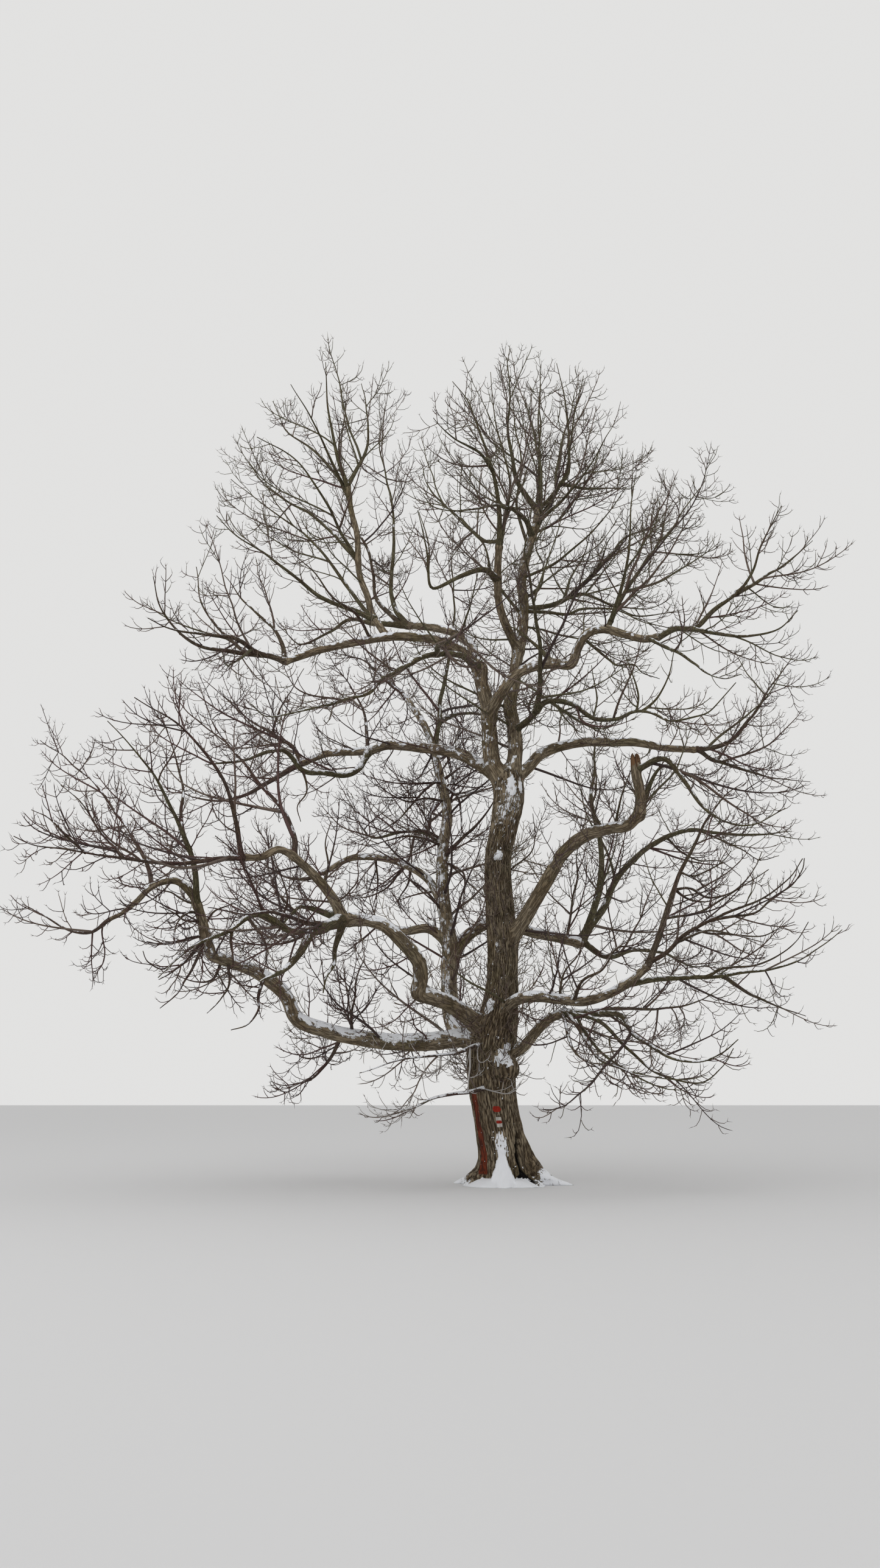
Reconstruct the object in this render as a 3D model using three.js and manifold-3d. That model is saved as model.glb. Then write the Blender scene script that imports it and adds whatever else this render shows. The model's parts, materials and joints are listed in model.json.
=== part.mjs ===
// A bare broadleaf tree in winter: a short leaning trunk with a flared foot, wide crooked boughs,
// and a crown of twig masses. Millimetres, +Z up, origin at the middle of the flat cut at ground level.
import * as THREE from 'three';
import { mergeVertices } from 'three/addons/utils/BufferGeometryUtils.js';
import Module from 'manifold-3d';

// The limbs' places and thicknesses below are in centimetres: x to the right, y away from the viewer, z up.
const cm = 10;
const clearance = 0.3;

// Trunk: [x, y, z, radius] from the ground to the fork.
const trunkCourse = [
  [0, 0, -12, 34], [-3, 0, 50, 30], [-13, 0, 110, 30], [-16, 0, 158, 33], [-12, 0, 192, 32],
  [-4, 0, 222, 25], [1, 0, 262, 20.5], [2, 0, 320, 21], [-2, 0, 380, 18.5], [-3, 0, 430, 18],
  [6, 0, 475, 19], [13, 0, 515, 22], [14, 0, 546, 19],
];
const trunkSides = 12;
const trunkStep = 42;

// Root toes that flare the foot: [bearing in degrees from +x towards +y, reach, thickness at the trunk].
const rootToes = [[-8, 92, 15], [38, 66, 13], [95, 70, 14], [150, 72, 14], [205, 58, 13],
  [262, 50, 12], [312, 70, 12]];
const rootToeRise = 62;
const rootToeSides = 5;

// The courses below were judged from one viewpoint. Each place is then moved along its line of sight, so
// that the crown is this many times as deep as judged and looks the same from there.
const viewpoint = [-84, -1620, 110];
const depthStretch = 1.45;

// Boughs: [name, the limb it grows from, radius at its root, radius at its tip, course].
// A course starts at the point of the parent's middle line nearest to its first place.
const boughs = [
  ['left_stem', 'trunk', 12.5, 9.5, [[8, 0, 532], [-8, -2, 570], [-13, -5, 620], [-14, -6, 650],
    [-24, -9, 690], [-26, -10, 715]]],
  ['leader', 'trunk', 11.5, 5.5, [[20, 0, 532], [24, 2, 585], [23, 4, 627], [18, 5, 660], [25, 7, 700],
    [30, 8, 738], [38, 10, 775], [41, 12, 825], [39, 14, 865], [50, 17, 912], [62, 19, 953],
    [66, 20, 982]]],
  ['centre_left_limb', 'leader', 6.5, 5, [[27, 5, 748], [11, -8, 786], [2, -18, 818], [1, -28, 861],
    [3, -36, 892]]],
  ['high_right_bough', 'left_stem', 8.4, 4.8, [[-12, -5, 642], [4, -30, 668], [23, -41, 690], [48, -46, 701],
    [76, -50, 704], [101, -59, 700], [110, -66, 721], [123, -73, 740], [145, -79, 745], [173, -87, 734],
    [197, -94, 724], [217, -100, 724]]],
  ['high_left_bough', 'left_stem', 7.6, 4.4, [[-26, -10, 710], [-53, -20, 734], [-90, -31, 748],
    [-121, -39, 749], [-156, -48, 746], [-190, -58, 736], [-236, -71, 721], [-264, -80, 709],
    [-297, -90, 692]]],
  ['upper_left_bough', 'left_stem', 7, 5.6, [[-25, -8, 705], [-32, 6, 737], [-43, 18, 767], [-68, 28, 785],
    [-100, 40, 797], [-130, 50, 804]]],
  ['fan_limb', 'high_left_bough', 5, 3.7, [[-163, -45, 748], [-181, -40, 783], [-189, -40, 812],
    [-202, -35, 852], [-206, -35, 911], [-216, -30, 955], [-221, -30, 993]]],
  ['middle_left_bough', 'trunk', 9.6, 4.8, [[4, 0, 538], [-25, 13, 572], [-57, 25, 593], [-104, 41, 606],
    [-159, 58, 616], [-191, 69, 611], [-252, 88, 612], [-289, 100, 602]]],
  ['back_stem', 'trunk', 13.8, 4.4, [[-18, 5, 160], [-45, 25, 186], [-66, 40, 212], [-71, 50, 261],
    [-70, 55, 320], [-79, 60, 383], [-80, 70, 457], [-73, 75, 513], [-82, 80, 565], [-103, 100, 650],
    [-134, 120, 708]]],
  ['crossing_bough', 'back_stem', 9, 7.2, [[-71, 52, 290], [-54, 60, 324], [-19, 66, 350], [10, 71, 354],
    [46, 76, 341], [85, 80, 333], [118, 85, 326]]],
  ['back_left_bough', 'back_stem', 7, 5, [[-72, 54, 320], [-99, 58, 342], [-132, 64, 340], [-156, 68, 345],
    [-187, 74, 353], [-216, 80, 353]]],
  ['low_left_bough', 'trunk', 12.5, 7.2, [[-18, 0, 180], [-48, -5, 187], [-102, -16, 181], [-150, -25, 181],
    [-198, -35, 187], [-238, -43, 196], [-271, -50, 210], [-287, -61, 241], [-316, -72, 264],
    [-343, -81, 276], [-377, -93, 288], [-386, -100, 310]]],
  ['low_left_arch', 'low_left_bough', 6, 2.6, [[-386, -100, 310], [-394, -105, 340], [-405, -109, 364],
    [-426, -114, 381], [-453, -119, 374], [-472, -123, 353], [-489, -127, 337], [-503, -130, 329]]],
  ['elbow_bough', 'trunk', 12, 7, [[-16, -4, 190], [-49, -20, 216], [-74, -37, 231], [-98, -52, 238],
    [-112, -61, 243], [-109, -70, 262], [-113, -80, 283], [-132, -93, 304], [-156, -107, 324],
    [-183, -119, 330], [-207, -130, 330]]],
  ['long_left_bough', 'elbow_bough', 6.3, 3.7, [[-207, -130, 330], [-218, -140, 351], [-238, -153, 376],
    [-265, -169, 400], [-285, -179, 409], [-304, -187, 398], [-325, -196, 395]]],
  ['middle_left_arch', 'back_stem', 6.6, 4.2, [[-78, 60, 372], [-99, 79, 415], [-127, 93, 438],
    [-159, 107, 453], [-196, 122, 460], [-224, 133, 458], [-262, 150, 441]]],
  ['arch_bough', 'trunk', 10.2, 7.3, [[2, 0, 306], [27, -12, 339], [58, -30, 389], [83, -44, 430],
    [113, -56, 453], [145, -66, 461], [167, -73, 463], [184, -80, 477]]],
  ['broken_stub', 'arch_bough', 6.8, 6.6, [[184, -80, 477], [186, -82, 505], [182, -84, 530],
    [181, -85, 546]]],
  ['fork_right_bough', 'trunk', 8.8, 4.8, [[20, 0, 539], [42, 9, 567], [62, 18, 590], [92, 27, 605],
    [129, 38, 615], [166, 49, 618], [209, 61, 621], [252, 74, 617], [300, 88, 618]]],
  ['low_right_bough', 'trunk', 8.3, 4.8, [[-2, -4, 217], [19, -30, 236], [47, -40, 239], [75, -45, 235],
    [106, -50, 232], [137, -60, 241], [164, -70, 256], [185, -80, 274]]],
  ['lowest_right_bough', 'trunk', 8.3, 5.2, [[-8, 0, 156], [24, -12, 173], [43, -22, 193], [60, -30, 210],
    [80, -40, 218]]],
];

// Twig masses: [name, the limb it grows from, limbs]. Each limb is [radius at its root, course]. The first
// limb of a mass is its stem, and the others fork from that stem.
const masses = [
  ['crown_top_left', 'centre_left_limb', [
    [4.6, [[3, -36, 892], [4, -48, 940], [-4, -62, 991], [-16, -73, 1031], [-28, -81, 1064],
      [-43, -91, 1099], [-66, -100, 1126]]],
    [3.4, [[3, -38, 900], [-18, -15, 915], [-45, 6, 950], [-77, 31, 996], [-104, 55, 1046],
      [-116, 80, 1105]]],
    [2.8, [[-8, -65, 1001], [-29, -100, 1010], [-65, -140, 1010], [-93, -175, 1020]]]]],
  ['crown_top', 'leader', [
    [4.4, [[66, 20, 982], [48, 15, 1005], [32, 8, 1030], [26, 0, 1067], [22, -8, 1110], [25, -17, 1157],
      [19, -30, 1215]]],
    [3.8, [[66, 20, 984], [74, 47, 1057], [77, 70, 1125], [78, 93, 1195], [86, 125, 1290]]]]],
  ['crown_top_right', 'leader', [
    [4.8, [[59, 20, 948], [77, 20, 980], [97, 20, 1016], [113, 20, 1045], [116, 20, 1095], [117, 20, 1138],
      [110, 20, 1192], [101, 20, 1240]]],
    [3.8, [[66, 20, 960], [83, -18, 962], [110, -63, 970], [130, -100, 985], [150, -145, 1010]]],
    [3, [[104, 20, 1026], [142, 42, 1031], [185, 67, 1045], [220, 90, 1057]]]]],
  ['crown_left_arm', 'leader', [
    [4.6, [[56, 18, 935], [45, -3, 955], [23, -30, 956], [-1, -78, 936], [-33, -98, 923], [-64, -112, 911],
      [-93, -128, 908], [-108, -145, 918]]]]],
  ['crown_left_bend', 'centre_left_limb', [
    [5, [[2, -24, 845], [-22, -45, 851], [-56, -70, 828], [-93, -90, 803], [-100, -102, 827],
      [-102, -110, 854], [-116, -130, 902]]]]],
  ['crown_right_low', 'leader', [
    [4.5, [[41, 12, 815], [73, 27, 826], [101, 42, 840], [135, 62, 877], [168, 83, 918], [218, 114, 983],
      [268, 138, 1018], [312, 168, 1085]]]]],
  ['fan_top', 'fan_limb', [
    [3.7, [[-221, -30, 993], [-237, -37, 1035], [-248, -45, 1087], [-254, -52, 1134], [-258, -60, 1185]]],
    [3.6, [[-222, -30, 996], [-211, -15, 1030], [-198, 3, 1075], [-197, 28, 1143], [-211, 58, 1230]]]]],
  ['fan_left_high', 'fan_limb', [
    [3.4, [[-219, -30, 975], [-250, -10, 1036], [-286, 7, 1082], [-328, 27, 1126], [-352, 48, 1190]]],
    [2.8, [[-228, -24, 1000], [-252, -52, 1040], [-274, -85, 1075], [-300, -118, 1110]]]]],
  ['fan_left_mid', 'fan_limb', [
    [3.6, [[-205, -35, 870], [-231, -15, 911], [-271, 9, 961], [-312, 30, 997], [-354, 51, 1035],
      [-397, 78, 1105]]],
    [2.8, [[-208, -32, 876], [-237, -58, 925], [-266, -94, 965], [-292, -120, 990], [-340, -155, 1001]]]]],
  ['fan_left_low', 'fan_limb', [
    [4.4, [[-178, -42, 776], [-213, -53, 787], [-251, -68, 795], [-284, -83, 816], [-321, -102, 844],
      [-362, -120, 862], [-392, -137, 890]]],
    [3.2, [[-186, -44, 778], [-222, -24, 838], [-259, -11, 895], [-303, 4, 943], [-359, 23, 995],
      [-410, 40, 1046]]]]],
  ['fan_right', 'upper_left_bough', [
    [4.8, [[-130, 50, 804], [-180, 70, 814], [-225, 105, 838], [-261, 137, 827], [-304, 170, 822],
      [-328, 187, 839], [-355, 218, 888]]],
    [4.6, [[-134, 52, 805], [-152, 68, 838], [-162, 95, 885], [-157, 120, 968], [-161, 140, 1032],
      [-172, 160, 1110], [-187, 180, 1191], [-180, 215, 1290]]],
    [4, [[-145, 56, 806], [-183, 92, 866], [-190, 108, 921], [-207, 132, 983], [-239, 175, 1048],
      [-272, 240, 1140]]]]],
  ['high_left_tip', 'high_left_bough', [
    [4.4, [[-297, -90, 692], [-329, -98, 701], [-369, -109, 698], [-408, -119, 702], [-441, -129, 723],
      [-464, -139, 754], [-472, -150, 792]]],
    [3.6, [[-333, -98, 702], [-366, -130, 711], [-401, -160, 707], [-434, -190, 700], [-460, -215, 706]]],
    [3.6, [[-299, -90, 693], [-306, -77, 731], [-338, -58, 768], [-373, -38, 812], [-403, -20, 855]]],
    [2.8, [[-350, -103, 699], [-395, -84, 745], [-422, -74, 792], [-434, -60, 850]]]]],
  ['crossing_limb', 'left_stem', [
    [5.2, [[-26, -10, 712], [-55, -60, 712], [-100, -100, 696], [-146, -150, 654], [-179, -200, 607],
      [-221, -240, 581], [-259, -290, 550], [-285, -312, 540], [-302, -335, 546]]],
    [4.2, [[-88, -90, 701], [-84, -150, 694], [-64, -212, 682], [-50, -262, 690], [-40, -318, 716]]]]],
  ['middle_left_tip', 'middle_left_bough', [
    [4.8, [[-289, 100, 602], [-319, 115, 591], [-353, 134, 575], [-398, 155, 561], [-445, 176, 560],
      [-494, 197, 580], [-542, 216, 598]]],
    [3.8, [[-293, 102, 600], [-322, 128, 642], [-366, 158, 676], [-411, 189, 717], [-478, 234, 785]]]]],
  ['middle_left_spur', 'middle_left_bough', [
    [5.4, [[-188, 68, 611], [-203, 57, 582], [-223, 47, 566], [-254, 33, 566], [-282, 20, 566],
      [-311, 2, 590], [-361, -22, 570], [-410, -46, 556]]],
    [3.6, [[-190, 64, 604], [-196, 92, 640], [-204, 115, 690], [-232, 140, 750], [-262, 160, 780]]]]],
  ['back_stem_tip', 'back_stem', [
    [4.4, [[-134, 120, 708], [-160, 165, 750], [-189, 207, 790], [-220, 240, 822], [-268, 285, 840]]]]],
  ['back_upright', 'back_stem', [
    [4.8, [[-92, 88, 609], [-86, 110, 665], [-80, 140, 734], [-69, 166, 806], [-60, 193, 893],
      [-64, 226, 990], [-59, 254, 1080]]],
    [4.4, [[-86, 112, 668], [-58, 170, 702], [-20, 230, 722], [30, 288, 762], [70, 336, 832]]]]],
  ['back_stem_left', 'back_stem', [
    [4.5, [[-79, 70, 466], [-104, 97, 492], [-142, 128, 500], [-188, 167, 500], [-212, 199, 532],
      [-230, 236, 588]]],
    [3.9, [[-104, 98, 493], [-96, 150, 536], [-72, 208, 590], [-50, 264, 640], [-18, 318, 706]]]]],
  ['back_left_tip', 'back_left_bough', [
    [3.8, [[-216, 80, 353], [-250, 92, 351], [-282, 108, 366], [-314, 128, 394], [-340, 150, 435],
      [-360, 172, 482]]],
    [3, [[-250, 92, 351], [-284, 120, 340], [-328, 150, 331], [-380, 184, 339], [-436, 216, 361]]]]],
  ['middle_arch_tip', 'middle_left_arch', [
    [3.8, [[-262, 150, 441], [-293, 173, 435], [-329, 198, 444], [-368, 230, 475], [-402, 256, 510]]]]],
  ['long_left_tip', 'long_left_bough', [
    [3.7, [[-325, -196, 395], [-355, -208, 390], [-394, -222, 383], [-439, -235, 383], [-496, -252, 389],
      [-549, -268, 392], [-580, -278, 405]]],
    [3.6, [[-327, -197, 395], [-334, -214, 436], [-348, -236, 484], [-374, -257, 520], [-406, -278, 549],
      [-446, -298, 567]]]]],
  ['long_left_inner', 'long_left_bough', [
    [3.8, [[-268, -170, 400], [-268, -156, 430], [-289, -140, 471], [-322, -125, 506], [-354, -109, 553],
      [-392, -91, 601], [-420, -70, 668]]]]],
  ['left_upright', 'low_left_arch', [
    [4.4, [[-398, -106, 350], [-401, -126, 400], [-410, -139, 430], [-431, -162, 472], [-452, -182, 511],
      [-476, -201, 541], [-500, -218, 566]]],
    [3.2, [[-406, -134, 418], [-427, -99, 471], [-435, -75, 524], [-457, -48, 584], [-483, -22, 640]]]]],
  ['arch_upright', 'low_left_arch', [
    [3.3, [[-455, -120, 373], [-470, -100, 412], [-509, -71, 465], [-554, -41, 520], [-612, -10, 573],
      [-664, 17, 612]]]]],
  ['arch_tip', 'low_left_arch', [
    [2.6, [[-503, -130, 329], [-528, -121, 314], [-558, -113, 317], [-599, -101, 339], [-632, -91, 355]]]]],
  ['elbow_drop', 'elbow_bough', [
    [7.2, [[-207, -130, 330], [-228, -154, 317], [-243, -172, 304], [-252, -195, 279], [-266, -222, 256],
      [-290, -255, 238]]],
    [5.2, [[-234, -158, 311], [-258, -161, 309], [-278, -166, 316], [-300, -174, 326], [-319, -182, 323],
      [-341, -192, 306], [-379, -214, 282], [-411, -238, 245]]],
    [3.8, [[-222, -146, 322], [-256, -188, 318], [-284, -231, 322], [-310, -269, 314],
      [-340, -315, 314]]]]],
  ['low_left_under', 'low_left_bough', [
    [3.2, [[-214, -36, 190], [-226, -10, 164], [-253, 24, 138], [-293, 56, 126], [-320, 78, 132]]]]],
  ['front_low', 'trunk', [
    [3.8, [[-12, 0, 124], [-36, -33, 117], [-86, -71, 112], [-117, -102, 98], [-156, -137, 97]]]]],
  ['high_right_tip', 'high_right_bough', [
    [4.8, [[217, -100, 724], [242, -104, 737], [270, -108, 737], [296, -114, 759], [329, -120, 785],
      [351, -125, 815], [362, -131, 853], [390, -139, 903]]],
    [3.4, [[325, -119, 782], [367, -95, 812], [411, -70, 850], [462, -42, 898]]],
    [3.4, [[262, -107, 737], [302, -127, 716], [337, -150, 708], [364, -170, 710], [384, -188, 725]]]]],
  ['high_right_fall', 'high_right_bough', [
    [2.9, [[205, -97, 724], [238, -144, 680], [261, -184, 645], [275, -208, 626], [292, -236, 618]]]]],
  ['high_right_upright', 'high_right_bough', [
    [3.6, [[150, -81, 743], [185, -59, 817], [227, -35, 881], [270, -12, 944], [326, 18, 1032]]],
    [3.4, [[156, -77, 757], [168, -102, 790], [177, -122, 828], [178, -137, 871], [187, -160, 940]]]]],
  ['fork_right_tip', 'fork_right_bough', [
    [4.8, [[300, 88, 618], [350, 102, 630], [400, 120, 679], [437, 137, 735], [486, 158, 800]]],
    [3.8, [[305, 90, 618], [338, 118, 611], [390, 155, 606], [459, 200, 603], [520, 236, 608]]]]],
  ['upper_right', 'leader', [
    [4.9, [[23, 4, 620], [47, -22, 636], [69, -42, 651], [100, -66, 637], [125, -92, 609], [154, -116, 600],
      [176, -137, 603], [213, -172, 582], [252, -208, 577], [280, -252, 604]]],
    [4.2, [[52, -28, 641], [56, -82, 688], [46, -140, 740], [30, -198, 792], [34, -246, 850]]]]],
  ['stub_branch', 'broken_stub', [
    [4.2, [[181, -85, 538], [212, -102, 548], [232, -118, 525], [251, -147, 474], [276, -169, 448],
      [308, -191, 438], [340, -216, 453]]]]],
  ['right_back', 'crossing_bough', [
    [6, [[118, 85, 326], [158, 117, 383], [191, 141, 438], [238, 165, 484], [307, 191, 516],
      [391, 222, 516], [490, 256, 530]]],
    [5.6, [[122, 88, 330], [142, 92, 379], [156, 100, 435], [156, 112, 485], [147, 130, 554],
      [158, 150, 613], [162, 176, 675]]],
    [4.6, [[121, 87, 329], [160, 105, 308], [204, 137, 323], [257, 180, 322], [312, 228, 308],
      [378, 274, 320]]]]],
  ['low_right_fan', 'low_right_bough', [
    [4.8, [[185, -80, 274], [199, -80, 308], [216, -80, 348], [237, -75, 400], [262, -70, 446],
      [294, -50, 496], [342, -22, 538]]],
    [3.2, [[187, -80, 279], [208, -97, 290], [233, -116, 315], [276, -140, 334], [317, -163, 348],
      [347, -183, 370], [362, -198, 394]]]]],
  ['low_right_tip', 'low_right_bough', [
    [4.2, [[159, -69, 253], [209, -65, 258], [268, -53, 263], [336, -39, 271], [389, -28, 285],
      [435, -19, 308], [466, -11, 332]]],
    [3.2, [[290, -48, 266], [346, 6, 244], [398, 48, 228], [432, 76, 222]]]]],
  ['lowest_right', 'lowest_right_bough', [
    [4.8, [[80, -40, 218], [123, -64, 215], [149, -80, 213], [162, -105, 186], [186, -134, 164],
      [221, -168, 150], [248, -196, 158], [262, -218, 174]]],
    [3.6, [[88, -44, 218], [147, 5, 226], [226, 76, 230], [301, 140, 248], [362, 194, 286]]],
    [3.4, [[84, -42, 217], [100, -82, 186], [117, -116, 156], [149, -155, 138], [177, -188, 134]]]]],
];
const massTipRadius = 1.1;

// How a limb is drawn: sides, the step along it as a multiple of its root radius, and its least step.
const boughSides = 6;
const boughStep = 3.2;
const stemSides = 4;
const stemStep = 10;
const leastStep = 24;
const collarSwell = 0.3;

// Twigs stand in opposite pairs, each pair turned a quarter from the last, and sweep up towards their tips.
const twigRule = {
  firstAt: 0.2,        // share of the limb that stays bare at its root
  spacing: 132,        // from pair to pair along the limb
  share: 0.42,         // a twig's length as a share of the limb beyond it
  least: 46,
  most: 130,
  unevenness: 0.35,
  lean: 46,            // degrees from the limb
  leanSpread: 14,
  sag: -0.05,          // change of direction upwards at a twig's first step
  sweep: 0.2,          // and at its last
  wander: 0.09,
  steps: 6,
  drawnEvery: 3,
  slenderness: 0.013,  // radius at a twig's root as a share of its length
  leastRadius: 0.9,
  steepest: -0.7,      // no twig sets off downwards more steeply than this rise for its length
  bareBelow: 18,       // no twig tip comes nearer the ground than this
  clearOfLimbs: 3,
  clearOfMasses: 5,
};

const wasm = await Module();
wasm.setup();
const { Manifold, Mesh } = wasm;

const up = new THREE.Vector3(0, 0, 1);

// A repeatable stream of numbers from 0 to 1.
function dice(seed) {
  let state = seed >>> 0;
  return () => {
    state = (state + 0x6d2b79f5) >>> 0;
    let mixed = Math.imul(state ^ (state >>> 15), state | 1);
    mixed ^= mixed + Math.imul(mixed ^ (mixed >>> 7), mixed | 61);
    return ((mixed ^ (mixed >>> 14)) >>> 0) / 4294967296;
  };
}

function seedFrom(parentSeed, number) {
  return (Math.imul(parentSeed, 31) + Math.imul(number + 7, 2654435761)) >>> 0;
}

// Tangents along a row of points, and sideways directions carried along it without twist.
function addFrames(line) {
  const { points } = line;
  const last = points.length - 1;
  line.tangents = points.map((_, i) =>
    new THREE.Vector3().subVectors(points[Math.min(i + 1, last)], points[Math.max(i - 1, 0)]).normalize());
  const first = line.tangents[0];
  const reference = Math.abs(first.z) > 0.9 ? new THREE.Vector3(1, 0, 0) : up;
  let side = new THREE.Vector3().crossVectors(reference, first).normalize();
  line.sides = line.tangents.map((tangent) => {
    side = side.clone().addScaledVector(tangent, -side.dot(tangent)).normalize();
    return side;
  });
  line.distances = [0];
  for (let i = 1; i <= last; i += 1) {
    line.distances.push(line.distances[i - 1] + points[i].distanceTo(points[i - 1]));
  }
  line.length = line.distances[last];
  return line;
}

// A limb through its places, evenly stepped, with its radius at each step.
function limbFrom(course, rootRadius, tipRadius, step, collar) {
  const curve = new THREE.CatmullRomCurve3(course, false, 'catmullrom', 0.5);
  const count = Math.max(3, Math.round(curve.getLength() / step));
  const limb = addFrames({ points: curve.getSpacedPoints(count) });
  limb.radii = limb.distances.map((distance) => {
    const taper = rootRadius + (tipRadius - rootRadius) * (distance / limb.length);
    return taper * (1 + collar * Math.exp(-distance / (1.6 * rootRadius)));
  });
  return limb;
}

function nearestOn(limb, place) {
  let best = Infinity;
  let spot = null;
  for (let i = 1; i < limb.points.length; i += 1) {
    const start = limb.points[i - 1];
    const along = new THREE.Vector3().subVectors(limb.points[i], start);
    const share = THREE.MathUtils.clamp(
      new THREE.Vector3().subVectors(place, start).dot(along) / along.lengthSq(), 0, 1);
    const point = start.clone().addScaledVector(along, share);
    const distance = point.distanceTo(place);
    if (distance < best) {
      best = distance;
      spot = { point, distance, radius: THREE.MathUtils.lerp(limb.radii[i - 1], limb.radii[i], share) };
    }
  }
  return spot;
}

// A closed tube along a limb. A radius of nothing at the tip makes a pointed end.
function tube(points, tangents, sides, radii, around) {
  const vertices = [];
  const faces = [];
  const pointed = radii[radii.length - 1] === 0;
  const rings = pointed ? points.length - 1 : points.length;
  for (let ring = 0; ring < rings; ring += 1) {
    const across = new THREE.Vector3().crossVectors(tangents[ring], sides[ring]);
    for (let k = 0; k < around; k += 1) {
      const angle = (2 * Math.PI * k) / around;
      const vertex = points[ring].clone()
        .addScaledVector(sides[ring], Math.cos(angle) * radii[ring])
        .addScaledVector(across, Math.sin(angle) * radii[ring]);
      vertices.push(vertex.x * cm, vertex.y * cm, vertex.z * cm);
    }
  }
  for (let ring = 1; ring < rings; ring += 1) {
    for (let k = 0; k < around; k += 1) {
      const next = (k + 1) % around;
      const low = (ring - 1) * around;
      const high = ring * around;
      faces.push(low + k, low + next, high + next, low + k, high + next, high + k);
    }
  }
  for (let k = 1; k < around - 1; k += 1) {
    faces.push(0, k + 1, k);
  }
  const lastRing = (rings - 1) * around;
  if (pointed) {
    const tip = points[points.length - 1];
    vertices.push(tip.x * cm, tip.y * cm, tip.z * cm);
    for (let k = 0; k < around; k += 1) {
      faces.push(lastRing + k, lastRing + ((k + 1) % around), rings * around);
    }
  } else {
    for (let k = 1; k < around - 1; k += 1) {
      faces.push(lastRing, lastRing + k, lastRing + k + 1);
    }
  }
  return new Manifold(new Mesh({
    numProp: 3, vertProperties: new Float32Array(vertices), triVerts: new Uint32Array(faces),
  }));
}

function solidOfGeometry(geometry) {
  geometry.deleteAttribute('normal');
  geometry.deleteAttribute('uv');
  const merged = mergeVertices(geometry);
  return new Manifold(new Mesh({
    numProp: 3,
    vertProperties: new Float32Array(merged.attributes.position.array),
    triVerts: new Uint32Array(merged.index.array),
  }));
}

function limbSolid(limb, around, swell = 0) {
  const { points, tangents } = limb;
  const last = points.length - 1;
  const longer = points.map((point) => point.clone());
  longer[0].addScaledVector(tangents[0], -swell);
  longer[last].addScaledVector(tangents[last], swell);
  return tube(longer, tangents, limb.sides, limb.radii.map((radius) => radius + swell), around);
}

function largestPiece(solid) {
  const pieces = solid.decompose();
  return pieces.reduce((best, piece) => (piece.volume() > best.volume() ? piece : best));
}

// Trunk with its root toes, cut flat at the ground.
function trunkLimb() {
  const places = trunkCourse.map(([x, y, z]) => new THREE.Vector3(x, y, z));
  const radii = trunkCourse.map(([, , , radius]) => new THREE.Vector3(radius, 0, 0));
  const curve = new THREE.CatmullRomCurve3(places, false, 'catmullrom', 0.5);
  const girths = new THREE.CatmullRomCurve3(radii, false, 'catmullrom', 0.5);
  const count = Math.round(curve.getLength() / trunkStep);
  const limb = addFrames({ points: curve.getSpacedPoints(count) });
  limb.radii = limb.points.map((_, i) => girths.getPoint(curve.getUtoTmapping(i / count)).x);
  return limb;
}

function rootToe([bearing, reach, thickness], swell) {
  const angle = THREE.MathUtils.degToRad(bearing);
  const out = new THREE.Vector3(Math.cos(angle), Math.sin(angle), 0);
  const course = [[0.18, rootToeRise], [0.4, rootToeRise * 0.55], [0.68, rootToeRise * 0.12],
    [1.05, -thickness * 0.45]]
    .map(([share, height]) => out.clone().multiplyScalar(reach * share).setZ(height));
  return limbSolid(limbFrom(course, thickness, thickness * 0.42, 14, 0), rootToeSides, swell);
}

function trunkSolid(limb, swell = 0) {
  const parts = [limbSolid(limb, trunkSides, swell), ...rootToes.map((toe) => rootToe(toe, swell))];
  const below = new THREE.BoxGeometry(4000, 4000, 1000);
  below.translate(0, 0, -500);
  return Manifold.union(parts).subtract(solidOfGeometry(below));
}

const limbs = { trunk: trunkLimb() };
const finished = [];
const group = new THREE.Group();

// Bark colours by thickness: the trunk is palest, the twigs darkest.
const finishes = {
  trunk: { color: 0x6d6459, roughness: 0.95, metalness: 0 },
  bough: { color: 0x5d5247, roughness: 0.93, metalness: 0 },
  twig: { color: 0x4a3a35, roughness: 0.9, metalness: 0 },
};

function addNode(name, solid, finish) {
  const { vertProperties, triVerts } = solid.getMesh();
  const geometry = new THREE.BufferGeometry();
  geometry.setAttribute('position', new THREE.BufferAttribute(new Float32Array(vertProperties), 3));
  geometry.setIndex(new THREE.BufferAttribute(new Uint32Array(triVerts), 1));
  geometry.computeVertexNormals();
  const mesh = new THREE.Mesh(geometry, new THREE.MeshStandardMaterial(finishes[finish]));
  mesh.name = name;
  group.add(mesh);
}

function boxesMeet(one, other) {
  const a = one.boundingBox();
  const b = other.boundingBox();
  return [0, 1, 2].every((axis) => a.min[axis] <= b.max[axis] && b.min[axis] <= a.max[axis]);
}

// Cuts a new solid clear of every solid finished before it.
function cutClear(solid) {
  const near = finished.filter((other) => boxesMeet(solid, other));
  return near.reduce((rest, other) => rest.subtract(other), solid);
}

function deepened(place) {
  const eye = new THREE.Vector3(...viewpoint);
  const sight = new THREE.Vector3(...place).sub(eye);
  const farther = (place[1] * depthStretch - viewpoint[1]) / sight.y;
  return eye.addScaledVector(sight, farther);
}

function placed(course, parent) {
  const places = course.map(deepened);
  places[0] = nearestOn(parent, places[0]).point;
  return places;
}

function leavesFromSide(parent, place) {
  return place.distanceTo(parent.points[parent.points.length - 1]) > 2;
}

finished.push(trunkSolid(limbs.trunk, clearance / cm));
addNode('trunk', trunkSolid(limbs.trunk), 'trunk');

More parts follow.
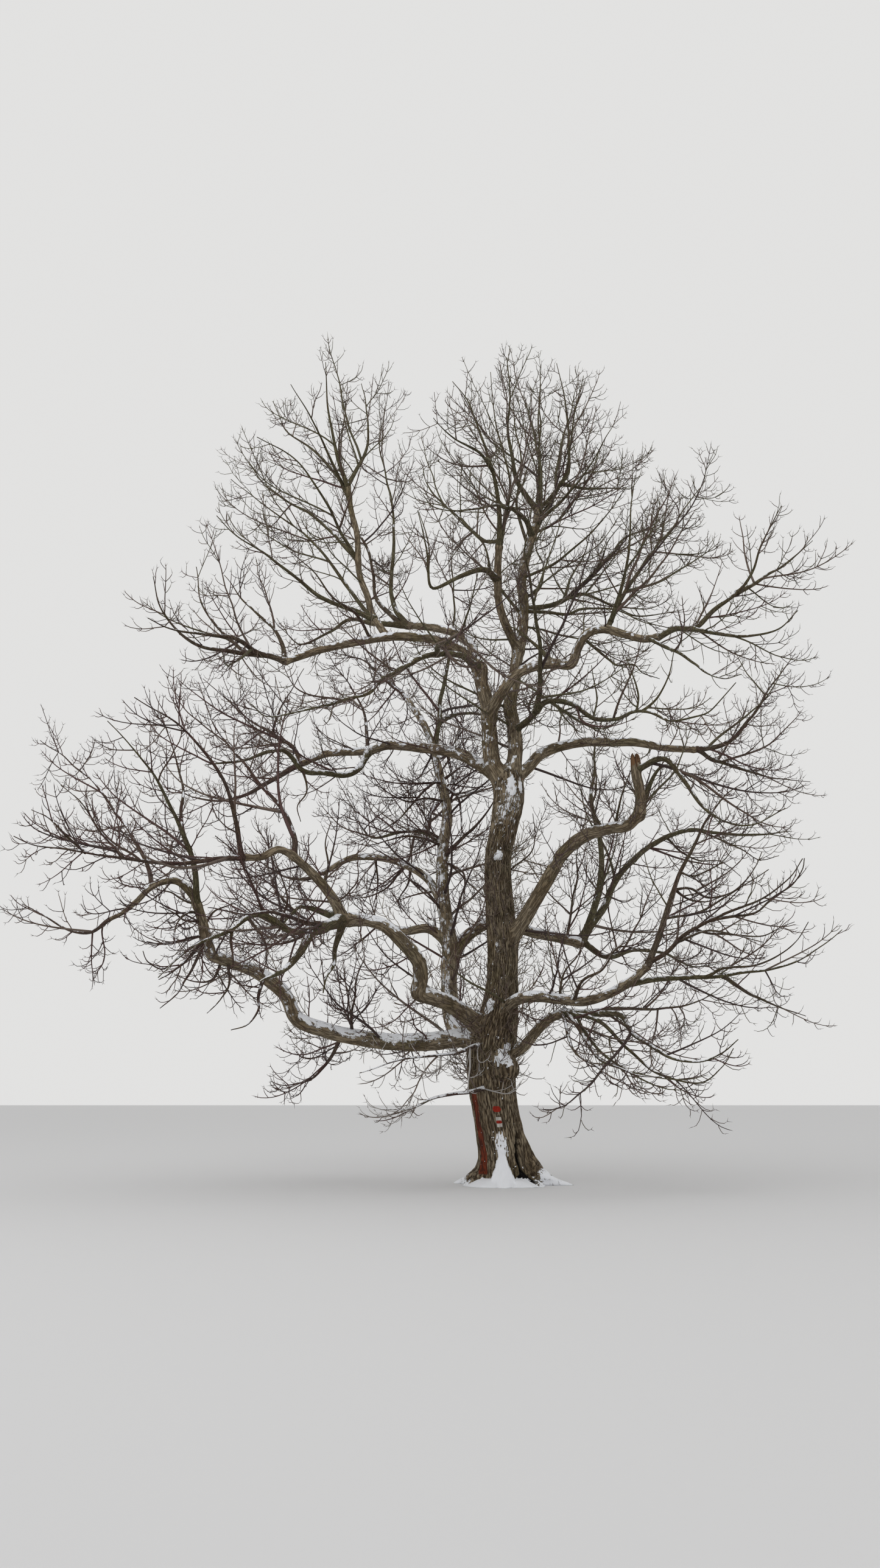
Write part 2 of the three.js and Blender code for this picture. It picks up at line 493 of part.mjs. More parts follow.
for (const [name, parentName, rootRadius, tipRadius, course] of boughs) {
  const parent = limbs[parentName];
  const places = placed(course, parent);
  const collar = leavesFromSide(parent, places[0]) ? collarSwell : 0;
  limbs[name] = limbFrom(places, rootRadius, tipRadius, Math.max(leastStep, rootRadius * boughStep), collar);
  const solid = largestPiece(cutClear(limbSolid(limbs[name], boughSides)));
  finished.push(limbSolid(limbs[name], boughSides, clearance / cm));
  addNode(name, solid, 'bough');
}

// The limbs of every mass are laid out first, because a twig keeps to the space nearest its own mass.
const crown = masses.map(([name, parentName, courses]) => {
  const parent = limbs[parentName];
  const own = [];
  courses.forEach(([rootRadius, course], i) => {
    const origin = i === 0 ? parent : own[0];
    const places = placed(course, origin);
    const collar = leavesFromSide(origin, places[0]) ? collarSwell : 0;
    const step = Math.max(leastStep, rootRadius * stemStep);
    own.push(limbFrom(places, rootRadius, massTipRadius, step, collar));
  });
  return { name, parent, own };
});

function distanceToLimbs(list, place) {
  return Math.min(...list.map((limb) => nearestOn(limb, place).distance));
}

function keepsItsSpace(points, radius, mass) {
  const others = crown.filter((other) => other !== mass);
  return points.slice(1).every((point) => {
    const clearOfBoughs = Object.values(limbs).every((limb) => {
      const spot = nearestOn(limb, point);
      return spot.distance - spot.radius > radius + twigRule.clearOfLimbs;
    });
    if (!clearOfBoughs || point.z < twigRule.bareBelow) {
      return false;
    }
    const near = distanceToLimbs(mass.own, point);
    return others.every((other) => distanceToLimbs(other.own, point) > near + twigRule.clearOfMasses);
  });
}

// One twig: it leaves its limb at a lean and turns upwards step by step.
function twigFrom(limb, distance, turn, length, roll) {
  const index = limb.distances.findIndex((reached) => reached >= distance);
  const share = (distance - limb.distances[index - 1]) / (limb.distances[index] - limb.distances[index - 1]);
  const start = limb.points[index - 1].clone().lerp(limb.points[index], share);
  const tangent = limb.tangents[index - 1].clone().lerp(limb.tangents[index], share).normalize();
  const side = limb.sides[index - 1].clone();
  side.addScaledVector(tangent, -side.dot(tangent)).normalize();
  const across = new THREE.Vector3().crossVectors(tangent, side);
  const lean = THREE.MathUtils.degToRad(twigRule.lean + twigRule.leanSpread * (2 * roll() - 1));
  const heading = tangent.clone().multiplyScalar(Math.cos(lean))
    .addScaledVector(side, Math.sin(lean) * Math.cos(turn))
    .addScaledVector(across, Math.sin(lean) * Math.sin(turn));
  const points = [start];
  for (let step = 0; step < twigRule.steps; step += 1) {
    const late = step / (twigRule.steps - 1);
    heading.z += twigRule.sag + (twigRule.sweep - twigRule.sag) * late;
    heading.x += twigRule.wander * (2 * roll() - 1);
    heading.y += twigRule.wander * (2 * roll() - 1);
    heading.normalize();
    points.push(points[step].clone().addScaledVector(heading, length / twigRule.steps));
  }
  return points;
}

function twigsOn(limb, mass, seed) {
  const twigs = [];
  const firstTurn = dice(seed)() * Math.PI;
  let pair = 0;
  const first = limb.length * twigRule.firstAt;
  for (let distance = first; distance < limb.length - 8; distance += twigRule.spacing) {
    for (const half of [0, 1]) {
      const own = dice(seedFrom(seed, pair * 2 + half));
      const turn = firstTurn + pair * Math.PI / 2 + half * Math.PI + 0.4 * (2 * own() - 1);
      const evenness = 1 + twigRule.unevenness * (2 * own() - 1);
      const wanted = (twigRule.least + twigRule.share * (limb.length - distance)) * evenness;
      const length = Math.min(twigRule.most, wanted);
      const points = twigFrom(limb, distance, turn, length, own);
      const radius = Math.max(twigRule.leastRadius, length * twigRule.slenderness);
      const rise = (points[1].z - points[0].z) * twigRule.steps / length;
      if (rise > twigRule.steepest && keepsItsSpace(points, radius, mass)) {
        twigs.push({ points, radius });
      }
    }
    pair += 1;
  }
  return twigs;
}

function twigSolid({ points, radius }) {
  const drawn = points.filter((_, i) => i % twigRule.drawnEvery === 0);
  const line = addFrames({ points: drawn });
  const radii = line.points.map((_, i) => radius * (1 - i / (drawn.length - 1)));
  return tube(line.points, line.tangents, line.sides, radii, 3);
}

crown.forEach((mass, number) => {
  const parts = [];
  mass.own.forEach((limb, i) => {
    parts.push(limbSolid(limb, stemSides));
    parts.push(...twigsOn(limb, mass, seedFrom(number + 1, i)).map(twigSolid));
  });
  addNode(mass.name, largestPiece(cutClear(Manifold.union(parts))), 'twig');
});

export default group;
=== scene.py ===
import json
import math
import bpy
import numpy as np
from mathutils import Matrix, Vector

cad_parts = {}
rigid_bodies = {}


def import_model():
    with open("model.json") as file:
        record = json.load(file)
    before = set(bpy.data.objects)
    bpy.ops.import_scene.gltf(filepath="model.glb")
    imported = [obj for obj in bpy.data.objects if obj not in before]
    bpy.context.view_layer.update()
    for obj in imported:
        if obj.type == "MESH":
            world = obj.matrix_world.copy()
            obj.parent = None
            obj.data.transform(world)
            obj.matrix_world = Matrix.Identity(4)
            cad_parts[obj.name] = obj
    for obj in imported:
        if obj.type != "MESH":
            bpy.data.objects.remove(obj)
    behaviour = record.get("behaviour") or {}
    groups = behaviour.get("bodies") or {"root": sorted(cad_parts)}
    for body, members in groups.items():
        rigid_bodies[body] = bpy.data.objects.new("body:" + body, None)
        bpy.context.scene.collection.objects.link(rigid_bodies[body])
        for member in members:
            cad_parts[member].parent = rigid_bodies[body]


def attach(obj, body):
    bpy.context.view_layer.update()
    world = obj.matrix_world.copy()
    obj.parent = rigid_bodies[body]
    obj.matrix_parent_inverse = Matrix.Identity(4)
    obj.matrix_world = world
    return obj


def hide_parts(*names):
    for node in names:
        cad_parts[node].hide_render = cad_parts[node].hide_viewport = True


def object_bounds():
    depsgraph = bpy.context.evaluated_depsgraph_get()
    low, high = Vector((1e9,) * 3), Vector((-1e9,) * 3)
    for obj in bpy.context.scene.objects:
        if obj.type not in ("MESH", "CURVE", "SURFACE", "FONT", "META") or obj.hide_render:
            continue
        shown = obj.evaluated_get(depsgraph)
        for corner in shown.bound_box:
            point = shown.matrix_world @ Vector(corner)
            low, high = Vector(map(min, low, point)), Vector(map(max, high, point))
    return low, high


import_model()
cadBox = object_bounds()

# A bare broadleaf tree in winter, in metres: x to the right, y away from the viewer, z up.

view = {
    "place": (-0.838, -16.2, 1.1),
    "pitch": 14.9,                 # degrees above level
    "lens": 27.04,                 # on a 36 mm long side
    "sensor": 36.0,
    "farthest": 500,
}

studio = {
    "sky": (0.76, 0.757, 0.75),
    "floor": (0.66, 0.66, 0.665),
    "floorReach": 160.0,
    "floorRough": 0.9,
    "lampPower": 900.0,
    "lampSize": 14.0,
    "lampPlace": (-7.0, -13.0, 17.0),
    "lampAim": (0, 0, 6.0),
}


def addCamera():
    lens = bpy.data.cameras.new("camera")
    lens.sensor_width = view["sensor"]
    lens.lens = view["lens"]
    lens.clip_end = view["farthest"]
    eye = bpy.data.objects.new("camera", lens)
    eye.location = view["place"]
    eye.rotation_euler = (math.radians(90 + view["pitch"]), 0, 0)
    bpy.context.collection.objects.link(eye)
    bpy.context.scene.camera = eye


addCamera()
bpy.context.scene.view_settings.view_transform = "Standard"
print("camera set")


# shader wires

class Wire:                                            # one socket, used in expressions
    def __init__(self, tree, socket=None):
        self.tree = tree
        self.socket = socket

    def make(self, kind, settings=None, values=None, out=0):   # any node: its type, settings, socket values
        node = self.tree.nodes.new(kind)
        for name, value in (settings or {}).items():
            setattr(node, name, value)
        for name, value in (values or {}).items():
            if isinstance(value, Wire):
                self.tree.links.new(value.socket, node.inputs[name])
            else:
                node.inputs[name].default_value = value
        return Wire(self.tree, node.outputs[out])

    def math(self, operation, *values):
        return self.make("ShaderNodeMath", {"operation": operation}, dict(enumerate(values)))

    def __add__(self, other):
        return self.math("ADD", self, other)

    def __radd__(self, other):
        return self.math("ADD", other, self)

    def __sub__(self, other):
        return self.math("SUBTRACT", self, other)

    def __rsub__(self, other):
        return self.math("SUBTRACT", other, self)

    def __mul__(self, other):
        return self.math("MULTIPLY", self, other)

    def __rmul__(self, other):
        return self.math("MULTIPLY", other, self)

    def __abs__(self):
        return self.math("ABSOLUTE", self)

    def mark(self, name, out=2):                       # what each vertex carries; out 1 for a vector
        return self.make("ShaderNodeAttribute", {"attribute_name": name}, out=out)

    def noise(self, scale, detail=4.0, rough=0.6):     # this wire is the place
        return self.make("ShaderNodeTexNoise", values={
            "Vector": self, "Scale": scale, "Detail": detail, "Roughness": rough})

    def furrows(self, scale, low, high, detail=3.0):   # 0 along winding furrows, 1 between them
        return (abs(self.noise(scale, detail) - 0.5) * 2).ramp(low, high)

    def ramp(self, low, high):                         # 0 below low, 1 above high, smooth between
        return self.make("ShaderNodeMapRange", {"interpolation_type": "SMOOTHSTEP"}, {
            "Value": self, "From Min": low, "From Max": high})

    def blend(self, first, second):                    # first colour at 0, second at 1
        settings = {"data_type": "RGBA"}
        return self.make("ShaderNodeMix", settings, {"Factor": self, 6: first, 7: second}, out=2)


def rgb(red, green, blue):                             # screen colour, 0 to 255, as light
    return tuple(((v / 255 + 0.055) / 1.055) ** 2.4 for v in (red, green, blue)) + (1.0,)


def newMaterial(name):
    material = bpy.data.materials.new(name)
    material.use_nodes = True
    shader = material.node_tree.nodes["Principled BSDF"]
    return material, shader, Wire(material.node_tree)


def plainMaterial(name, colour, rough):
    material, shader, _ = newMaterial(name)
    shader.inputs["Base Color"].default_value = colour
    shader.inputs["Roughness"].default_value = rough
    return material


barkLook = {
    "fissure": rgb(60, 49, 36),
    "plate": rgb(156, 142, 119),
    "plateWarm": rgb(134, 117, 94),
    "green": rgb(108, 102, 68),
    "pale": rgb(162, 153, 138),
    "snow": rgb(238, 240, 244),
    "rawWood": rgb(126, 58, 36),
    "rawWoodDark": rgb(72, 36, 26),
    # painted shade: the inside of the hollow split is given this near-black colour
    "hollow": rgb(14, 11, 9),
    "markPale": rgb(206, 202, 194),
    "markRed": rgb(158, 48, 34),
    "roughness": 0.93,
    "snowSmoother": 0.25,          # how much less rough snow is
    "specular": 0.2,
    "furrowScale": 24.0,           # furrows a metre, across the wood
    "fineFurrows": 2.7,            # how many times finer the shallow furrows are
    "patchScale": 17.0,
    "fineScale": 110.0,
    "warmScale": 2.6,
    "greenScale": 1.3,
    "rawScale": 40.0,
    "bump": 0.009,
    "bumpStrength": 0.8,
}


def barkMaterial(name, look):
    material, shader, wire = newMaterial(name)
    tree = material.node_tree
    grain = wire.mark("grain", out=1)                  # a place on the wood, drawn short along it
    place = wire.make("ShaderNodeTexCoord", out=3)
    deep = grain.furrows(look["furrowScale"], 0.03, 0.24)
    shallow = grain.furrows(look["furrowScale"] * look["fineFurrows"], 0.02, 0.3)
    patchy = place.noise(look["patchScale"], detail=5.0)
    fine = place.noise(look["fineScale"], detail=5.0, rough=0.7)
    height = wire.mark("ridge") * 0.5 + deep * 0.42 + shallow * 0.16 + fine * 0.3 - 0.22
    warm = place.noise(look["warmScale"], detail=3.0).ramp(0.42, 0.62)
    green = place.noise(look["greenScale"], detail=2.0).ramp(0.5, 0.68) * 0.5
    pale = (fine * 0.6 + patchy * 0.5).ramp(0.56, 0.74) * 0.5
    plate = warm.blend(look["plate"], look["plateWarm"])
    plate = pale.blend(green.blend(plate, look["green"]), look["pale"])
    colour = height.ramp(0.12, 0.95).blend(look["fissure"], plate)
    wood = grain.noise(look["rawScale"]).ramp(0.4, 0.62).blend(look["rawWoodDark"], look["rawWood"])
    colour = wire.mark("raw").ramp(0.35, 0.65).blend(colour, wood)
    # painted shade: the hollow split's inside is coloured near-black
    colour = wire.mark("hollow").ramp(0.2, 0.7).blend(colour, look["hollow"])
    colour = wire.mark("pale").ramp(0.4, 0.6).blend(colour, look["markPale"])
    colour = wire.mark("red").ramp(0.4, 0.6).blend(colour, look["markRed"])
    cover = wire.mark("snow") + (patchy - 0.5) * 0.9 + (fine - 0.5) * 0.7 + (0.7 - deep) * 0.22
    cover = cover.ramp(0.46, 0.56)
    colour = cover.blend(colour, look["snow"])
    rise = (deep + shallow * 0.4 + fine * 0.5) * (1.1 - cover)
    bump = wire.make("ShaderNodeBump", values={
        "Strength": look["bumpStrength"], "Distance": look["bump"], "Height": rise})
    rough = look["roughness"] - cover * look["snowSmoother"]
    for wired, socket in ((colour, "Base Color"), (rough, "Roughness"), (bump, "Normal")):
        tree.links.new(wired.socket, shader.inputs[socket])
    shader.inputs["Specular IOR Level"].default_value = look["specular"]
    return material


barkFinish = barkMaterial("bark", barkLook)
tornLook = {"rawWood": rgb(132, 100, 72), "rawWoodDark": rgb(84, 62, 45)}
tornFinish = barkMaterial("torn_bark", {**barkLook, **tornLook})
limbLook = {
    "olive": {"fissure": rgb(48, 42, 30), "plate": rgb(112, 106, 80), "plateWarm": rgb(96, 84, 64)},
    "brown": {"fissure": rgb(46, 38, 30), "plate": rgb(106, 94, 78), "plateWarm": rgb(92, 72, 60)},
    "maroon": {"fissure": rgb(44, 34, 30), "plate": rgb(100, 84, 74), "plateWarm": rgb(92, 64, 58)},
}
limbFinishes = {
    name: barkMaterial(f"limb_{name}", {**barkLook, "furrowScale": 60.0, "bump": 0.004, **look})
    for name, look in limbLook.items()}
thickFinish = limbFinishes["olive"]

twigLook = [                                           # dealt out by spray
    ("twig_maroon", rgb(78, 52, 47), 0.7),
    ("twig_brown", rgb(84, 66, 55), 0.75),
    ("twig_grey", rgb(104, 90, 80), 0.8),
    ("twig_dark", rgb(60, 44, 40), 0.72),
    ("twig_frosted", rgb(176, 172, 168), 0.85),
    ("twig_olive", rgb(84, 78, 54), 0.78),
    ("twig_pale", rgb(126, 114, 97), 0.82),
]
twigFinishes = [plainMaterial(*look) for look in twigLook]
print("finishes made")


def addStudio():
    world = bpy.data.worlds.new("sky")
    bpy.context.scene.world = world
    world.use_nodes = True
    world.node_tree.nodes["Background"].inputs["Color"].default_value = (*studio["sky"], 1)
    reach = studio["floorReach"]
    mesh = bpy.data.meshes.new("floor")
    corners = [(-reach, -reach, 0), (reach, -reach, 0), (reach, reach, 0), (-reach, reach, 0)]
    mesh.from_pydata(corners, [], [(0, 1, 2, 3)])
    floor = bpy.data.objects.new("floor", mesh)
    bpy.context.collection.objects.link(floor)
    mesh.materials.append(plainMaterial("floor", (*studio["floor"], 1), studio["floorRough"]))
    light = bpy.data.lights.new("lamp", "AREA")
    light.energy = studio["lampPower"]
    light.size = studio["lampSize"]
    lamp = bpy.data.objects.new("lamp", light)
    lamp.location = studio["lampPlace"]
    aim = np.array(studio["lampAim"]) - np.array(studio["lampPlace"])
    lamp.rotation_euler = (math.atan2(math.hypot(aim[0], aim[1]), -aim[2]), 0, math.atan2(-aim[0], aim[1]))
    bpy.context.collection.objects.link(lamp)


addStudio()
print("studio lit")


# the tree's measures, in centimetres

cm = 0.01
# Trunk: [x, y, z, radius] from the ground to the fork.
trunkCourse = [
  [0, 0, -12, 34], [-3, 0, 50, 30], [-13, 0, 110, 30], [-16, 0, 158, 33], [-12, 0, 192, 32],
  [-4, 0, 222, 25], [1, 0, 262, 20.5], [2, 0, 320, 21], [-2, 0, 380, 18.5], [-3, 0, 430, 18],
  [6, 0, 475, 19], [13, 0, 515, 22], [14, 0, 546, 19],
]
# Root toes that flare the foot: [bearing in degrees from +x towards +y, reach, thickness at the trunk].
rootToes = [[-8, 92, 15], [38, 66, 13], [95, 70, 14], [150, 72, 14], [205, 58, 13],
  [262, 50, 12], [312, 70, 12]]
rootToeRise = 62

# The courses below were judged from one viewpoint. Each place is then moved along its line of sight, so
# that the crown is this many times as deep as judged and looks the same from there.
viewpoint = [-84, -1620, 110]
depthStretch = 1.45

# Boughs: [name, the limb it grows from, radius at its root, radius at its tip, course].
# A course starts at the point of the parent's middle line nearest to its first place.
boughs = [
    ["left_stem", "trunk", 12.5, 9.5, [[8, 0, 532], [-8, -2, 570], [-13, -5, 620], [-14, -6, 650],
      [-24, -9, 690], [-26, -10, 715]]],
    ["leader", "trunk", 11.5, 5.5, [[20, 0, 532], [24, 2, 585], [23, 4, 627], [18, 5, 660], [25, 7, 700],
      [30, 8, 738], [38, 10, 775], [41, 12, 825], [39, 14, 865], [50, 17, 912], [62, 19, 953],
      [66, 20, 982]]],
    ["centre_left_limb", "leader", 6.5, 5, [[27, 5, 748], [11, -8, 786], [2, -18, 818], [1, -28, 861],
      [3, -36, 892]]],
    ["high_right_bough", "left_stem", 8.4, 4.8, [[-12, -5, 642], [4, -30, 668], [23, -41, 690],
      [48, -46, 701], [76, -50, 704], [101, -59, 700], [110, -66, 721], [123, -73, 740], [145, -79, 745],
      [173, -87, 734], [197, -94, 724], [217, -100, 724]]],
    ["high_left_bough", "left_stem", 7.6, 4.4, [[-26, -10, 710], [-53, -20, 734], [-90, -31, 748],
      [-121, -39, 749], [-156, -48, 746], [-190, -58, 736], [-236, -71, 721], [-264, -80, 709],
      [-297, -90, 692]]],
    ["upper_left_bough", "left_stem", 7, 5.6, [[-25, -8, 705], [-32, 6, 737], [-43, 18, 767], [-68, 28, 785],
      [-100, 40, 797], [-130, 50, 804]]],
    ["fan_limb", "high_left_bough", 5, 3.7, [[-163, -45, 748], [-181, -40, 783], [-189, -40, 812],
      [-202, -35, 852], [-206, -35, 911], [-216, -30, 955], [-221, -30, 993]]],
    ["middle_left_bough", "trunk", 9.6, 4.8, [[4, 0, 538], [-25, 13, 572], [-57, 25, 593], [-104, 41, 606],
      [-159, 58, 616], [-191, 69, 611], [-252, 88, 612], [-289, 100, 602]]],
    ["back_stem", "trunk", 13.8, 4.4, [[-18, 5, 160], [-45, 25, 186], [-66, 40, 212], [-71, 50, 261],
      [-70, 55, 320], [-79, 60, 383], [-80, 70, 457], [-73, 75, 513], [-82, 80, 565], [-103, 100, 650],
      [-134, 120, 708]]],
    ["crossing_bough", "back_stem", 9, 7.2, [[-71, 52, 290], [-54, 60, 324], [-19, 66, 350], [10, 71, 354],
      [46, 76, 341], [85, 80, 333], [118, 85, 326]]],
    ["back_left_bough", "back_stem", 7, 5, [[-72, 54, 320], [-99, 58, 342], [-132, 64, 340], [-156, 68, 345],
      [-187, 74, 353], [-216, 80, 353]]],
    ["low_left_bough", "trunk", 12.5, 7.2, [[-18, 0, 180], [-48, -5, 187], [-102, -16, 181], [-150, -25, 181],
      [-198, -35, 187], [-238, -43, 196], [-271, -50, 210], [-287, -61, 241], [-316, -72, 264],
      [-343, -81, 276], [-377, -93, 288], [-386, -100, 310]]],
    ["low_left_arch", "low_left_bough", 6, 2.6, [[-386, -100, 310], [-394, -105, 340], [-405, -109, 364],
      [-426, -114, 381], [-453, -119, 374], [-472, -123, 353], [-489, -127, 337], [-503, -130, 329]]],
    ["elbow_bough", "trunk", 12, 7, [[-16, -4, 190], [-49, -20, 216], [-74, -37, 231], [-98, -52, 238],
      [-112, -61, 243], [-109, -70, 262], [-113, -80, 283], [-132, -93, 304], [-156, -107, 324],
      [-183, -119, 330], [-207, -130, 330]]],
    ["long_left_bough", "elbow_bough", 6.3, 3.7, [[-207, -130, 330], [-218, -140, 351], [-238, -153, 376],
      [-265, -169, 400], [-285, -179, 409], [-304, -187, 398], [-325, -196, 395]]],
    ["middle_left_arch", "back_stem", 6.6, 4.2, [[-78, 60, 372], [-99, 79, 415], [-127, 93, 438],
      [-159, 107, 453], [-196, 122, 460], [-224, 133, 458], [-262, 150, 441]]],
    ["arch_bough", "trunk", 10.2, 7.3, [[2, 0, 306], [27, -12, 339], [58, -30, 389], [83, -44, 430],
      [113, -56, 453], [145, -66, 461], [167, -73, 463], [184, -80, 477]]],
    ["broken_stub", "arch_bough", 6.8, 6.6, [[184, -80, 477], [186, -82, 505], [182, -84, 530],
      [181, -85, 546]]],
    ["fork_right_bough", "trunk", 8.8, 4.8, [[20, 0, 539], [42, 9, 567], [62, 18, 590], [92, 27, 605],
      [129, 38, 615], [166, 49, 618], [209, 61, 621], [252, 74, 617], [300, 88, 618]]],
    ["low_right_bough", "trunk", 8.3, 4.8, [[-2, -4, 217], [19, -30, 236], [47, -40, 239], [75, -45, 235],
      [106, -50, 232], [137, -60, 241], [164, -70, 256], [185, -80, 274]]],
    ["lowest_right_bough", "trunk", 8.3, 5.2, [[-8, 0, 156], [24, -12, 173], [43, -22, 193], [60, -30, 210],
      [80, -40, 218]]],
]

